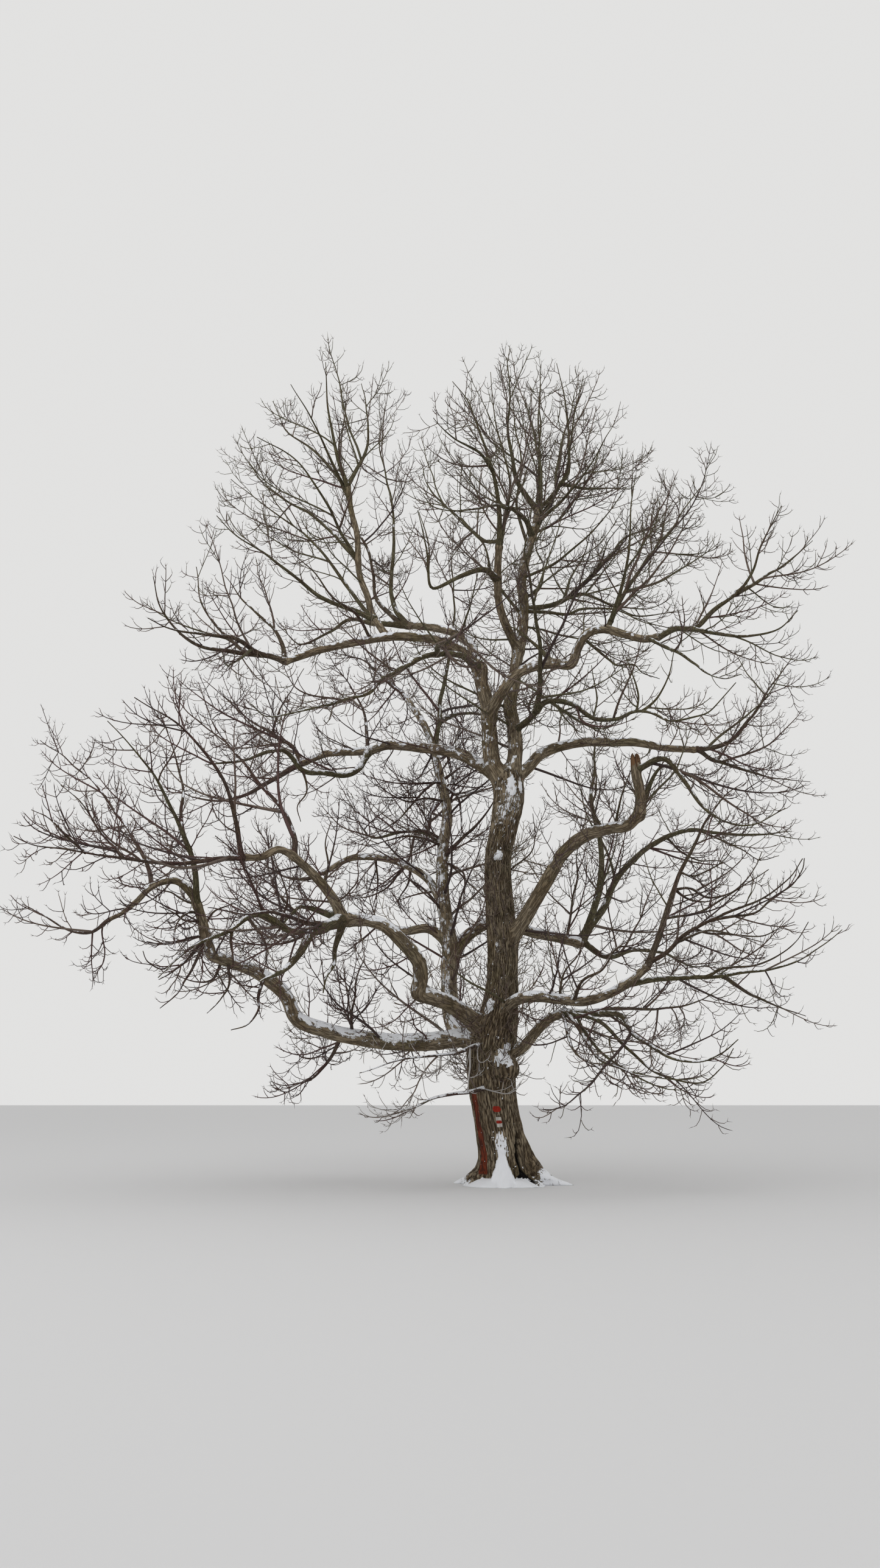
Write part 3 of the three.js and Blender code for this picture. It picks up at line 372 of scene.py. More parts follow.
# Twig masses: [name, the limb it grows from, limbs]. Each limb is [radius at its root, course]. The first
# limb of a mass is its stem, and the others fork from that stem.
masses = [
    ["crown_top_left", "centre_left_limb", [
      [4.6, [[3, -36, 892], [4, -48, 940], [-4, -62, 991], [-16, -73, 1031], [-28, -81, 1064],
        [-43, -91, 1099], [-66, -100, 1126]]],
      [3.4, [[3, -38, 900], [-18, -15, 915], [-45, 6, 950], [-77, 31, 996], [-104, 55, 1046],
        [-116, 80, 1105]]],
      [2.8, [[-8, -65, 1001], [-29, -100, 1010], [-65, -140, 1010], [-93, -175, 1020]]]]],
    ["crown_top", "leader", [
      [4.4, [[66, 20, 982], [48, 15, 1005], [32, 8, 1030], [26, 0, 1067], [22, -8, 1110], [25, -17, 1157],
        [19, -30, 1215]]],
      [3.8, [[66, 20, 984], [74, 47, 1057], [77, 70, 1125], [78, 93, 1195], [86, 125, 1290]]]]],
    ["crown_top_right", "leader", [
      [4.8, [[59, 20, 948], [77, 20, 980], [97, 20, 1016], [113, 20, 1045], [116, 20, 1095], [117, 20, 1138],
        [110, 20, 1192], [101, 20, 1240]]],
      [3.8, [[66, 20, 960], [83, -18, 962], [110, -63, 970], [130, -100, 985], [150, -145, 1010]]],
      [3, [[104, 20, 1026], [142, 42, 1031], [185, 67, 1045], [220, 90, 1057]]]]],
    ["crown_left_arm", "leader", [
      [4.6, [[56, 18, 935], [45, -3, 955], [23, -30, 956], [-1, -78, 936], [-33, -98, 923], [-64, -112, 911],
        [-93, -128, 908], [-108, -145, 918]]]]],
    ["crown_left_bend", "centre_left_limb", [
      [5, [[2, -24, 845], [-22, -45, 851], [-56, -70, 828], [-93, -90, 803], [-100, -102, 827],
        [-102, -110, 854], [-116, -130, 902]]]]],
    ["crown_right_low", "leader", [
      [4.5, [[41, 12, 815], [73, 27, 826], [101, 42, 840], [135, 62, 877], [168, 83, 918], [218, 114, 983],
        [268, 138, 1018], [312, 168, 1085]]]]],
    ["fan_top", "fan_limb", [
      [3.7, [[-221, -30, 993], [-237, -37, 1035], [-248, -45, 1087], [-254, -52, 1134], [-258, -60, 1185]]],
      [3.6, [[-222, -30, 996], [-211, -15, 1030], [-198, 3, 1075], [-197, 28, 1143], [-211, 58, 1230]]]]],
    ["fan_left_high", "fan_limb", [
      [3.4, [[-219, -30, 975], [-250, -10, 1036], [-286, 7, 1082], [-328, 27, 1126], [-352, 48, 1190]]],
      [2.8, [[-228, -24, 1000], [-252, -52, 1040], [-274, -85, 1075], [-300, -118, 1110]]]]],
    ["fan_left_mid", "fan_limb", [
      [3.6, [[-205, -35, 870], [-231, -15, 911], [-271, 9, 961], [-312, 30, 997], [-354, 51, 1035],
        [-397, 78, 1105]]],
      [2.8, [[-208, -32, 876], [-237, -58, 925], [-266, -94, 965], [-292, -120, 990], [-340, -155, 1001]]]]],
    ["fan_left_low", "fan_limb", [
      [4.4, [[-178, -42, 776], [-213, -53, 787], [-251, -68, 795], [-284, -83, 816], [-321, -102, 844],
        [-362, -120, 862], [-392, -137, 890]]],
      [3.2, [[-186, -44, 778], [-222, -24, 838], [-259, -11, 895], [-303, 4, 943], [-359, 23, 995],
        [-410, 40, 1046]]]]],
    ["fan_right", "upper_left_bough", [
      [4.8, [[-130, 50, 804], [-180, 70, 814], [-225, 105, 838], [-261, 137, 827], [-304, 170, 822],
        [-328, 187, 839], [-355, 218, 888]]],
      [4.6, [[-134, 52, 805], [-152, 68, 838], [-162, 95, 885], [-157, 120, 968], [-161, 140, 1032],
        [-172, 160, 1110], [-187, 180, 1191], [-180, 215, 1290]]],
      [4, [[-145, 56, 806], [-183, 92, 866], [-190, 108, 921], [-207, 132, 983], [-239, 175, 1048],
        [-272, 240, 1140]]]]],
    ["high_left_tip", "high_left_bough", [
      [4.4, [[-297, -90, 692], [-329, -98, 701], [-369, -109, 698], [-408, -119, 702], [-441, -129, 723],
        [-464, -139, 754], [-472, -150, 792]]],
      [3.6, [[-333, -98, 702], [-366, -130, 711], [-401, -160, 707], [-434, -190, 700], [-460, -215, 706]]],
      [3.6, [[-299, -90, 693], [-306, -77, 731], [-338, -58, 768], [-373, -38, 812], [-403, -20, 855]]],
      [2.8, [[-350, -103, 699], [-395, -84, 745], [-422, -74, 792], [-434, -60, 850]]]]],
    ["crossing_limb", "left_stem", [
      [5.2, [[-26, -10, 712], [-55, -60, 712], [-100, -100, 696], [-146, -150, 654], [-179, -200, 607],
        [-221, -240, 581], [-259, -290, 550], [-285, -312, 540], [-302, -335, 546]]],
      [4.2, [[-88, -90, 701], [-84, -150, 694], [-64, -212, 682], [-50, -262, 690], [-40, -318, 716]]]]],
    ["middle_left_tip", "middle_left_bough", [
      [4.8, [[-289, 100, 602], [-319, 115, 591], [-353, 134, 575], [-398, 155, 561], [-445, 176, 560],
        [-494, 197, 580], [-542, 216, 598]]],
      [3.8, [[-293, 102, 600], [-322, 128, 642], [-366, 158, 676], [-411, 189, 717], [-478, 234, 785]]]]],
    ["middle_left_spur", "middle_left_bough", [
      [5.4, [[-188, 68, 611], [-203, 57, 582], [-223, 47, 566], [-254, 33, 566], [-282, 20, 566],
        [-311, 2, 590], [-361, -22, 570], [-410, -46, 556]]],
      [3.6, [[-190, 64, 604], [-196, 92, 640], [-204, 115, 690], [-232, 140, 750], [-262, 160, 780]]]]],
    ["back_stem_tip", "back_stem", [
      [4.4, [[-134, 120, 708], [-160, 165, 750], [-189, 207, 790], [-220, 240, 822], [-268, 285, 840]]]]],
    ["back_upright", "back_stem", [
      [4.8, [[-92, 88, 609], [-86, 110, 665], [-80, 140, 734], [-69, 166, 806], [-60, 193, 893],
        [-64, 226, 990], [-59, 254, 1080]]],
      [4.4, [[-86, 112, 668], [-58, 170, 702], [-20, 230, 722], [30, 288, 762], [70, 336, 832]]]]],
    ["back_stem_left", "back_stem", [
      [4.5, [[-79, 70, 466], [-104, 97, 492], [-142, 128, 500], [-188, 167, 500], [-212, 199, 532],
        [-230, 236, 588]]],
      [3.9, [[-104, 98, 493], [-96, 150, 536], [-72, 208, 590], [-50, 264, 640], [-18, 318, 706]]]]],
    ["back_left_tip", "back_left_bough", [
      [3.8, [[-216, 80, 353], [-250, 92, 351], [-282, 108, 366], [-314, 128, 394], [-340, 150, 435],
        [-360, 172, 482]]],
      [3, [[-250, 92, 351], [-284, 120, 340], [-328, 150, 331], [-380, 184, 339], [-436, 216, 361]]]]],
    ["middle_arch_tip", "middle_left_arch", [
      [3.8, [[-262, 150, 441], [-293, 173, 435], [-329, 198, 444], [-368, 230, 475], [-402, 256, 510]]]]],
    ["long_left_tip", "long_left_bough", [
      [3.7, [[-325, -196, 395], [-355, -208, 390], [-394, -222, 383], [-439, -235, 383], [-496, -252, 389],
        [-549, -268, 392], [-580, -278, 405]]],
      [3.6, [[-327, -197, 395], [-334, -214, 436], [-348, -236, 484], [-374, -257, 520], [-406, -278, 549],
        [-446, -298, 567]]]]],
    ["long_left_inner", "long_left_bough", [
      [3.8, [[-268, -170, 400], [-268, -156, 430], [-289, -140, 471], [-322, -125, 506], [-354, -109, 553],
        [-392, -91, 601], [-420, -70, 668]]]]],
    ["left_upright", "low_left_arch", [
      [4.4, [[-398, -106, 350], [-401, -126, 400], [-410, -139, 430], [-431, -162, 472], [-452, -182, 511],
        [-476, -201, 541], [-500, -218, 566]]],
      [3.2, [[-406, -134, 418], [-427, -99, 471], [-435, -75, 524], [-457, -48, 584], [-483, -22, 640]]]]],
    ["arch_upright", "low_left_arch", [
      [3.3, [[-455, -120, 373], [-470, -100, 412], [-509, -71, 465], [-554, -41, 520], [-612, -10, 573],
        [-664, 17, 612]]]]],
    ["arch_tip", "low_left_arch", [
      [2.6, [[-503, -130, 329], [-528, -121, 314], [-558, -113, 317], [-599, -101, 339], [-632, -91, 355]]]]],
    ["elbow_drop", "elbow_bough", [
      [7.2, [[-207, -130, 330], [-228, -154, 317], [-243, -172, 304], [-252, -195, 279], [-266, -222, 256],
        [-290, -255, 238]]],
      [5.2, [[-234, -158, 311], [-258, -161, 309], [-278, -166, 316], [-300, -174, 326], [-319, -182, 323],
        [-341, -192, 306], [-379, -214, 282], [-411, -238, 245]]],
      [3.8, [[-222, -146, 322], [-256, -188, 318], [-284, -231, 322], [-310, -269, 314],
        [-340, -315, 314]]]]],
    ["low_left_under", "low_left_bough", [
      [3.2, [[-214, -36, 190], [-226, -10, 164], [-253, 24, 138], [-293, 56, 126], [-320, 78, 132]]]]],
    ["front_low", "trunk", [
      [3.8, [[-12, 0, 124], [-36, -33, 117], [-86, -71, 112], [-117, -102, 98], [-156, -137, 97]]]]],
    ["high_right_tip", "high_right_bough", [
      [4.8, [[217, -100, 724], [242, -104, 737], [270, -108, 737], [296, -114, 759], [329, -120, 785],
        [351, -125, 815], [362, -131, 853], [390, -139, 903]]],
      [3.4, [[325, -119, 782], [367, -95, 812], [411, -70, 850], [462, -42, 898]]],
      [3.4, [[262, -107, 737], [302, -127, 716], [337, -150, 708], [364, -170, 710], [384, -188, 725]]]]],
    ["high_right_fall", "high_right_bough", [
      [2.9, [[205, -97, 724], [238, -144, 680], [261, -184, 645], [275, -208, 626], [292, -236, 618]]]]],
    ["high_right_upright", "high_right_bough", [
      [3.6, [[150, -81, 743], [185, -59, 817], [227, -35, 881], [270, -12, 944], [326, 18, 1032]]],
      [3.4, [[156, -77, 757], [168, -102, 790], [177, -122, 828], [178, -137, 871], [187, -160, 940]]]]],
    ["fork_right_tip", "fork_right_bough", [
      [4.8, [[300, 88, 618], [350, 102, 630], [400, 120, 679], [437, 137, 735], [486, 158, 800]]],
      [3.8, [[305, 90, 618], [338, 118, 611], [390, 155, 606], [459, 200, 603], [520, 236, 608]]]]],
    ["upper_right", "leader", [
      [4.9, [[23, 4, 620], [47, -22, 636], [69, -42, 651], [100, -66, 637], [125, -92, 609], [154, -116, 600],
        [176, -137, 603], [213, -172, 582], [252, -208, 577], [280, -252, 604]]],
      [4.2, [[52, -28, 641], [56, -82, 688], [46, -140, 740], [30, -198, 792], [34, -246, 850]]]]],
    ["stub_branch", "broken_stub", [
      [4.2, [[181, -85, 538], [212, -102, 548], [232, -118, 525], [251, -147, 474], [276, -169, 448],
        [308, -191, 438], [340, -216, 453]]]]],
    ["right_back", "crossing_bough", [
      [6, [[118, 85, 326], [158, 117, 383], [191, 141, 438], [238, 165, 484], [307, 191, 516],
        [391, 222, 516], [490, 256, 530]]],
      [5.6, [[122, 88, 330], [142, 92, 379], [156, 100, 435], [156, 112, 485], [147, 130, 554],
        [158, 150, 613], [162, 176, 675]]],
      [4.6, [[121, 87, 329], [160, 105, 308], [204, 137, 323], [257, 180, 322], [312, 228, 308],
        [378, 274, 320]]]]],
    ["low_right_fan", "low_right_bough", [
      [4.8, [[185, -80, 274], [199, -80, 308], [216, -80, 348], [237, -75, 400], [262, -70, 446],
        [294, -50, 496], [342, -22, 538]]],
      [3.2, [[187, -80, 279], [208, -97, 290], [233, -116, 315], [276, -140, 334], [317, -163, 348],
        [347, -183, 370], [362, -198, 394]]]]],
    ["low_right_tip", "low_right_bough", [
      [4.2, [[159, -69, 253], [209, -65, 258], [268, -53, 263], [336, -39, 271], [389, -28, 285],
        [435, -19, 308], [466, -11, 332]]],
      [3.2, [[290, -48, 266], [346, 6, 244], [398, 48, 228], [432, 76, 222]]]]],
    ["lowest_right", "lowest_right_bough", [
      [4.8, [[80, -40, 218], [123, -64, 215], [149, -80, 213], [162, -105, 186], [186, -134, 164],
        [221, -168, 150], [248, -196, 158], [262, -218, 174]]],
      [3.6, [[88, -44, 218], [147, 5, 226], [226, 76, 230], [301, 140, 248], [362, 194, 286]]],
      [3.4, [[84, -42, 217], [100, -82, 186], [117, -116, 156], [149, -155, 138], [177, -188, 134]]]]],
]

# Limbs too thin for the solids: (the mass, the limb they grow from, courses). A course is [radius at its
# root, depth at its root, depth at its tip, places across and down the picture that the view shows].
thinLimbs = [
    ("stub_branch", "arch_bough", [
      [2.4, -65, -80, (987, 1350), (972, 1325), (978, 1300), (977, 1262), (969, 1237)],
      [2.0, -72, -84, (1006, 1344), (1019, 1312), (1031, 1281), (1043, 1250)],
      [2.5, -80, -60, (1050, 1270), (1085, 1262), (1130, 1275), (1165, 1300)]]),
    ("right_back", "crossing_bough", [
      [2.4, 82, 130, (934, 1525), (941, 1475), (950, 1437), (947, 1400), (956, 1362)]]),
    ("right_back", "trunk", [
      [1.7, 12, 60, (845, 1450), (866, 1406), (878, 1375), (875, 1335)]]),
    ("low_right_fan", "low_right_bough", [
      [2.8, -70, -110, (938, 1634), (957, 1613), (985, 1596), (1000, 1578), (1012, 1560), (1045, 1540)],
      [2.0, -60, -20, (915, 1640), (925, 1600), (950, 1565), (960, 1520)]]),
    ("low_right_fan", "low_right_fan_0", [
      [2.2, -78, -130, (1088, 1508), (1112, 1505), (1150, 1495), (1190, 1474), (1228, 1448),
        (1262, 1428)],
      [2.0, -74, -30, (1104, 1462), (1130, 1478), (1162, 1480), (1198, 1466)]]),
    ("low_right_fan", "low_right_fan_1", [
      [2.2, -120, -170, (1102, 1562), (1132, 1543), (1165, 1529), (1202, 1534), (1255, 1546)]]),
    ("right_back", "right_back_2", [
      [2.4, 92, 40, (970, 1568), (998, 1572), (1020, 1557), (1048, 1563), (1075, 1588)]]),
    ("lowest_right", "lowest_right_bough", [
      [2.8, -60, -150, (950, 1650), (987, 1681), (1031, 1725), (1081, 1762), (1150, 1778), (1187, 1756),
        (1203, 1725)],
      [2.4, -60, -190, (905, 1680), (940, 1720), (985, 1760), (1020, 1790)]]),
    ("back_left_tip", "back_stem", [
      [3.6, 62, 30, (738, 1408), (757, 1378), (780, 1355), (806, 1322), (822, 1290)],
      [2.4, 62, 112, (722, 1374), (700, 1366), (672, 1366), (640, 1367), (610, 1360), (585, 1349),
        (560, 1338)],
      [2.4, 62, 24, (722, 1386), (697, 1378), (668, 1374), (640, 1380), (606, 1387), (573, 1384)],
      [2.2, 66, 36, (728, 1312), (700, 1313), (674, 1318), (650, 1308), (628, 1296), (606, 1268)],
      [2.4, 70, 30, (735, 1276), (712, 1288), (690, 1306), (670, 1328), (655, 1346), (630, 1362),
        (598, 1372)]]),
    ("back_left_tip", "middle_left_arch", [
      [2.0, 108, 84, (668, 1436), (642, 1449), (621, 1467), (598, 1475), (556, 1473)],
      [2.3, 116, 130, (616, 1412), (618, 1440), (617, 1472), (611, 1504)]]),
    ("back_left_tip", "back_stem", [
      [2.3, 62, 14, (740, 1410), (757, 1430), (763, 1450), (761, 1478), (760, 1505)]]),
    ("back_stem_left", "back_stem", [
      [2.4, 74, 40, (740, 1282), (752, 1310), (757, 1340), (758, 1366), (774, 1378), (800, 1379)],
      [2.6, 74, 110, (733, 1277), (745, 1267), (760, 1258), (780, 1268), (802, 1276)]]),
    ("back_left_tip", "back_stem", [
      [2.2, 56, 20, (730, 1500), (712, 1478), (690, 1455), (668, 1440), (652, 1408)]]),
    ("back_stem_left", "back_stem", [
      [2.4, 66, 150, (728, 1330), (745, 1290), (735, 1240), (760, 1200), (755, 1150)]]),
    ("low_left_under", "low_left_bough", [
      [2.6, -34, -70, (580, 1685), (577, 1668), (583, 1640), (585, 1610), (600, 1570)],
      [3.0, -80, -110, (433, 1612), (426, 1637), (426, 1657), (408, 1680), (380, 1690)],
      [2.2, -92, -130, (375, 1590), (375, 1620), (362, 1640), (340, 1662)]]),
    ("elbow_drop", "elbow_bough", [
      [2.3, -118, -140, (545, 1530), (551, 1560), (550, 1585), (537, 1605), (530, 1632)],
      [2.6, -136, -172, (522, 1512), (500, 1491), (487, 1496), (472, 1510), (457, 1527), (438, 1545)]]),
    ("elbow_drop", "elbow_drop_1", [
      [1.7, -172, -205, (432, 1500), (420, 1465), (404, 1430), (380, 1395), (352, 1372)],
      [1.7, -168, -150, (462, 1514), (472, 1480), (462, 1440), (450, 1405), (446, 1372)]]),
    ("arch_tip", "low_left_arch", [
      [1.9, -118, -170, (335, 1500), (310, 1500), (292, 1515), (287, 1535), (286, 1556)]]),
    ("crown_top", "leader", [
      [2.8, 20, 70, (884, 800), (888, 711), (885, 655), (889, 600)],
      [2.8, 20, -60, (884, 845), (922, 792), (936, 732), (943, 676), (956, 615)]]),
    ("crown_top_left", "centre_left_limb", [
      [2.6, -36, -20, (830, 872), (838, 800), (824, 740), (811, 680), (806, 610)]]),
    ("crown_top_left", "leader", [
      [2.8, 14, 80, (872, 900), (850, 830), (856, 760), (846, 690), (838, 620)]]),
    ("crown_right_low", "leader", [
      [2.6, 12, -70, (876, 950), (915, 922), (955, 890), (992, 850), (1030, 800)]]),
    ("crown_left_bend", "leader", [
      [2.8, 6, 60, (850, 1010), (812, 950), (795, 894), (760, 862), (732, 835), (700, 812)]]),
    ("crown_top_right", "leader", [
      [2.4, 18, 110, (884, 880), (920, 850), (960, 800), (985, 740), (1010, 690)]]),
    ("high_left_tip", "high_left_bough", [
      [2.6, -60, -140, (610, 1045), (585, 1010), (545, 980), (515, 940), (478, 905)]]),
    ("crown_left_bend", "crown_left_bend_0", [
      [1.6, -102, -60, (704, 940), (706, 905), (698, 872), (688, 842)]]),
    ("high_right_fall", "high_right_bough", [
      [4.4, -50, -10, (910, 1092), (888, 1068), (866, 1048), (846, 1034), (826, 1026)],
      [2.2, -66, -90, (957, 1047), (975, 1062), (1000, 1083), (1013, 1092), (1040, 1092), (1055, 1106),
        (1082, 1115)]]),
    ("crown_right_low", "crown_right_low_0", [
      [3.0, 40, 60, (922, 988), (950, 978), (980, 984), (1012, 997), (1045, 1012), (1085, 1010),
        (1125, 1000)]]),
    ("crown_right_low", "leader", [
      [3.0, 10, -20, (866, 1003), (900, 1007), (932, 1010), (955, 1001), (1000, 1000), (1030, 1007),
        (1062, 1024), (1100, 1034)]]),
    ("crown_right_low", "crown_right_low_0", [
      [1.9, 50, 10, (965, 955), (985, 925), (1000, 890), (1020, 860)]]),
    ("crown_right_low", "leader", [
      [2.6, 12, 80, (862, 985), (885, 965), (893, 930), (880, 895), (900, 850)],
      [1.9, 10, 0, (852, 1028), (885, 1033), (915, 1043), (950, 1051), (985, 1059), (1012, 1052),
        (1042, 1046)]]),
    ("upper_right", "upper_right_0", [
      [1.7, -92, -80, (974, 1180), (979, 1150), (975, 1120), (971, 1092)],
      [1.8, -137, -120, (1045, 1170), (1047, 1140), (1038, 1105), (1030, 1078)],
      [2.0, -140, -150, (1062, 1176), (1080, 1145), (1098, 1110), (1106, 1068)]]),
    ("low_left_under", "low_left_arch", [
      [2.6, -98, -130, (337, 1560), (318, 1590), (302, 1615), (288, 1636), (262, 1655)],
      [2.4, -99, -150, (337, 1552), (310, 1574), (288, 1592), (262, 1608)],
      [1.9, -99, -170, (337, 1558), (298, 1570), (268, 1590), (245, 1580), (236, 1560)]]),
    ("arch_tip", "low_left_arch", [
      [1.9, -104, -150, (330, 1515), (303, 1512), (285, 1500), (262, 1490)],
      [2.0, -106, -90, (322, 1488), (300, 1478), (280, 1466), (262, 1462), (245, 1450)]]),
    ("long_left_tip", "long_left_tip_0", [
      [2.0, -240, -250, (200, 1410), (170, 1370), (140, 1330), (100, 1290)],
      [1.8, -255, -240, (140, 1402), (110, 1375), (80, 1345), (50, 1330)]]),
    ("long_left_inner", "long_left_bough", [
      [2.0, -150, -120, (530, 1455), (540, 1420), (535, 1385), (545, 1350)]]),
    ("middle_left_spur", "middle_left_spur_0", [
      [1.9, 20, 0, (497, 1266), (505, 1300), (490, 1325), (495, 1350)]]),
    ("back_left_tip", "middle_left_arch", [
      [2.2, 93, 120, (674, 1425), (670, 1455), (655, 1480), (660, 1500)]]),
    ("middle_left_tip", "middle_left_tip_1", [
      [2.0, 140, 90, (440, 1203), (460, 1165), (480, 1130), (500, 1100)]]),
    ("low_right_fan", "low_right_fan_0", [
      [1.8, -78, -100, (1118, 1432), (1140, 1440), (1165, 1432), (1185, 1418), (1198, 1400)],
      [2.0, -79, -50, (1108, 1462), (1135, 1460), (1165, 1475), (1200, 1470), (1222, 1450), (1240, 1425),
        (1250, 1400)]]),
    ("low_right_fan", "low_right_fan_1", [
      [2.2, -132, -180, (1165, 1514), (1200, 1505), (1240, 1498), (1270, 1475), (1300, 1455),
        (1318, 1430), (1322, 1410)],
      [1.8, -122, -120, (1140, 1528), (1170, 1535), (1210, 1538), (1250, 1537), (1280, 1525),
        (1305, 1515)]]),
    ("low_right_tip", "low_right_tip_0", [
      [2.2, -55, -90, (1161, 1606), (1190, 1590), (1240, 1585), (1285, 1565), (1310, 1545), (1330, 1515)]]),
    ("right_back", "right_back_0", [
      [2.2, 196, 160, (1150, 1366), (1180, 1380), (1215, 1395), (1245, 1412), (1278, 1405)],
      [2.0, 178, 230, (1095, 1378), (1120, 1400), (1150, 1412), (1185, 1415), (1215, 1440)]]),
    ("arch_tip", "low_left_arch", [
      [2.2, -101, -130, (334, 1538), (310, 1540), (285, 1548), (262, 1550), (240, 1545)],
      [2.0, -103, -80, (331, 1525), (350, 1500), (372, 1490), (400, 1480)]]),
    ("elbow_drop", "elbow_drop_1", [
      [2.0, -182, -200, (407, 1508), (430, 1540), (436, 1570), (430, 1600)],
      [2.0, -190, -196, (380, 1524), (378, 1550), (384, 1580), (380, 1605)]]),
    ("low_left_under", "low_left_bough", [
      [2.2, -90, -60, (366, 1578), (350, 1606), (320, 1612), (290, 1604)]]),
]

# One more of them, given as the courses of the masses are.
frontLimb = ("front_low", "trunk", 3.3, [[-17, -10, 184], [-58, -44, 168], [-101, -79, 159],
                                         [-139, -110, 152], [-182, -150, 137]])

# That picture's focal length, its middle, and where the trunk's foot is across it, in pixels.
picture = {"focal": 1935.0, "middle": (722.5, 1288.0), "footAcross": 828.0}


# ways of growing

low32 = 0xffffffff                                     # keeps a number's low 32 bits


class Dice:                                            # repeatable numbers from 0 to 1 for each seed
    def __init__(self, seeds):
        self.state = np.atleast_1d(np.asarray(seeds, dtype=np.uint64))

    def roll(self):
        self.state = (self.state + 0x6d2b79f5) & low32
        mixed = ((self.state ^ (self.state >> 15)) * (self.state | 1)) & low32
        mixed ^= (mixed + (((mixed ^ (mixed >> 7)) * (mixed | 61)) & low32)) & low32
        return (mixed ^ (mixed >> 14)) / 4294967296

    def spread(self):                                  # from -1 to 1
        return 2 * self.roll() - 1


def seedFrom(parentSeed, number):
    parentSeed = np.atleast_1d(np.asarray(parentSeed, dtype=np.uint64))
    number = np.atleast_1d(np.asarray(number, dtype=np.uint64))
    return (parentSeed * 31 + (((number + 7) * 2654435761) & low32)) & low32


def softNoise(places, seed=0):                         # smooth noise from -1 to 1 at each place
    cell = np.floor(places).astype(np.int64)
    part = places - cell
    part = part * part * (3 - 2 * part)
    total = np.zeros(len(places))
    for corner in range(8):
        step = np.array([corner & 1, corner >> 1 & 1, corner >> 2 & 1])
        x, y, z = (cell + step).T
        mixed = (x * 374761393 + y * 668265263 + z * 1440662683 + seed * 1274126177) & low32
        mixed = ((mixed ^ (mixed >> 13)) * 1274126177) & low32
        value = (mixed ^ (mixed >> 16)) / 2147483648 - 1
        total += value * np.prod(np.where(step, part, 1 - part), axis=1)
    return total


def layered(places, layers, seed=0):                   # noise of several sizes: weight, size and seed of each
    return sum(weight * softNoise(places / size, seed + number) for weight, size, number in layers)


def lineNoise(values, seed, second=0.0, third=0.0):    # noise along a line
    return softNoise(np.stack([values, 0 * values + second, 0 * values + third], axis=1), seed)


def smooth(values, low, high):
    share = np.clip((values - low) / (high - low), 0, 1)
    return share * share * (3 - 2 * share)


def unit(vectors):
    return vectors / np.maximum(np.linalg.norm(vectors, axis=-1, keepdims=True), 1e-12)


def deepened(place):
    eye = np.array(viewpoint) * cm
    sight = np.array(place) * cm - eye
    return eye + sight * (place[1] * cm * depthStretch - eye[1]) / sight[1]


def placeRead(across, down, depth):                    # whole centimetres, from pixels and a depth
    (middle, level), focal, (_, start, eye) = picture["middle"], picture["focal"], view["place"]
    run, rise = math.cos(math.radians(view["pitch"])), math.sin(math.radians(view["pitch"]))
    above = (level - down) / focal
    away = depth / 100 - start
    height = away * (rise + above * run) / (run - above * rise)
    aside = (across - middle) / focal * (away * run + height * rise)
    aside -= (picture["footAcross"] - middle) / focal * (-start * run - eye * rise)
    return [round(aside * 100), round(depth), round((height + eye) * 100)]


def courseRead(rootDepth, tipDepth, *spots):
    depths = [rootDepth + (tipDepth - rootDepth) * i / (len(spots) - 1) for i in range(len(spots))]
    return [placeRead(*spot, depth) for spot, depth in zip(spots, depths)]


def bentBetween(before, start, end, after, part):      # on a smooth curve, this part of the way to the end
    leaving, arriving = (end - before) / 2, (after - start) / 2
    bend = 3 * (end - start) - 2 * leaving - arriving
    turn = 2 * (start - end) + leaving + arriving
    return start + leaving * part + bend * part ** 2 + turn * part ** 3


def curveThrough(places, shares):                      # a smooth curve through the places
    rows = np.vstack([2 * places[:1] - places[1:2], places, 2 * places[-1:] - places[-2:-1]])
    spots = shares * (len(places) - 1)
    index = np.minimum(spots.astype(int), len(places) - 2)
    return bentBetween(*(rows[index + k] for k in range(4)), (spots - index)[:, None])


def reachedAlong(points):
    return np.concatenate([[0], np.cumsum(np.linalg.norm(np.diff(points, axis=0), axis=1))])


def evenlySpaced(places, step):
    shares = np.linspace(0, 1, 201)
    reached = reachedAlong(curveThrough(places, shares))
    count = max(3, round(reached[-1] / step))
    wanted = np.linspace(0, reached[-1], count + 1)
    return curveThrough(places, np.interp(wanted, reached, shares))


class Limb:                                            # a row of places with thickness and directions
    def __init__(self, name, points, radii, parent):
        self.name, self.points, self.radii, self.parent = name, points, radii, parent
        self.tangents = unit(np.vstack([points[1:2] - points[:1], points[2:] - points[:-2],
                                        points[-1:] - points[-2:-1]]))
        first = self.tangents[0]
        reference = np.array([1.0, 0, 0]) if abs(first[2]) > 0.9 else np.array([0, 0, 1.0])
        side = unit(np.cross(reference, first))
        sides = []
        for tangent in self.tangents:
            side = unit(side - tangent * side.dot(tangent))
            sides.append(side)
        self.sides = np.array(sides)
        self.distances = reachedAlong(points)
        self.length = self.distances[-1]

    def at(self, distances):                           # place, tangent, side and radius at those distances
        def between(rows):
            return np.stack([np.interp(distances, self.distances, row) for row in rows.T], axis=-1)
        tangent = unit(between(self.tangents))
        side = between(self.sides)
        side = unit(side - tangent * np.sum(side * tangent, axis=-1, keepdims=True))
        return between(self.points), tangent, side, np.interp(distances, self.distances, self.radii)


def nearestPlace(limb, place):
    starts, runs = limb.points[:-1], np.diff(limb.points, axis=0)
    shares = np.clip(np.sum((place - starts) * runs, axis=1) / np.sum(runs * runs, axis=1), 0, 1)
    nearest = starts + runs * shares[:, None]
    return nearest[np.argmin(np.linalg.norm(nearest - place, axis=1))]


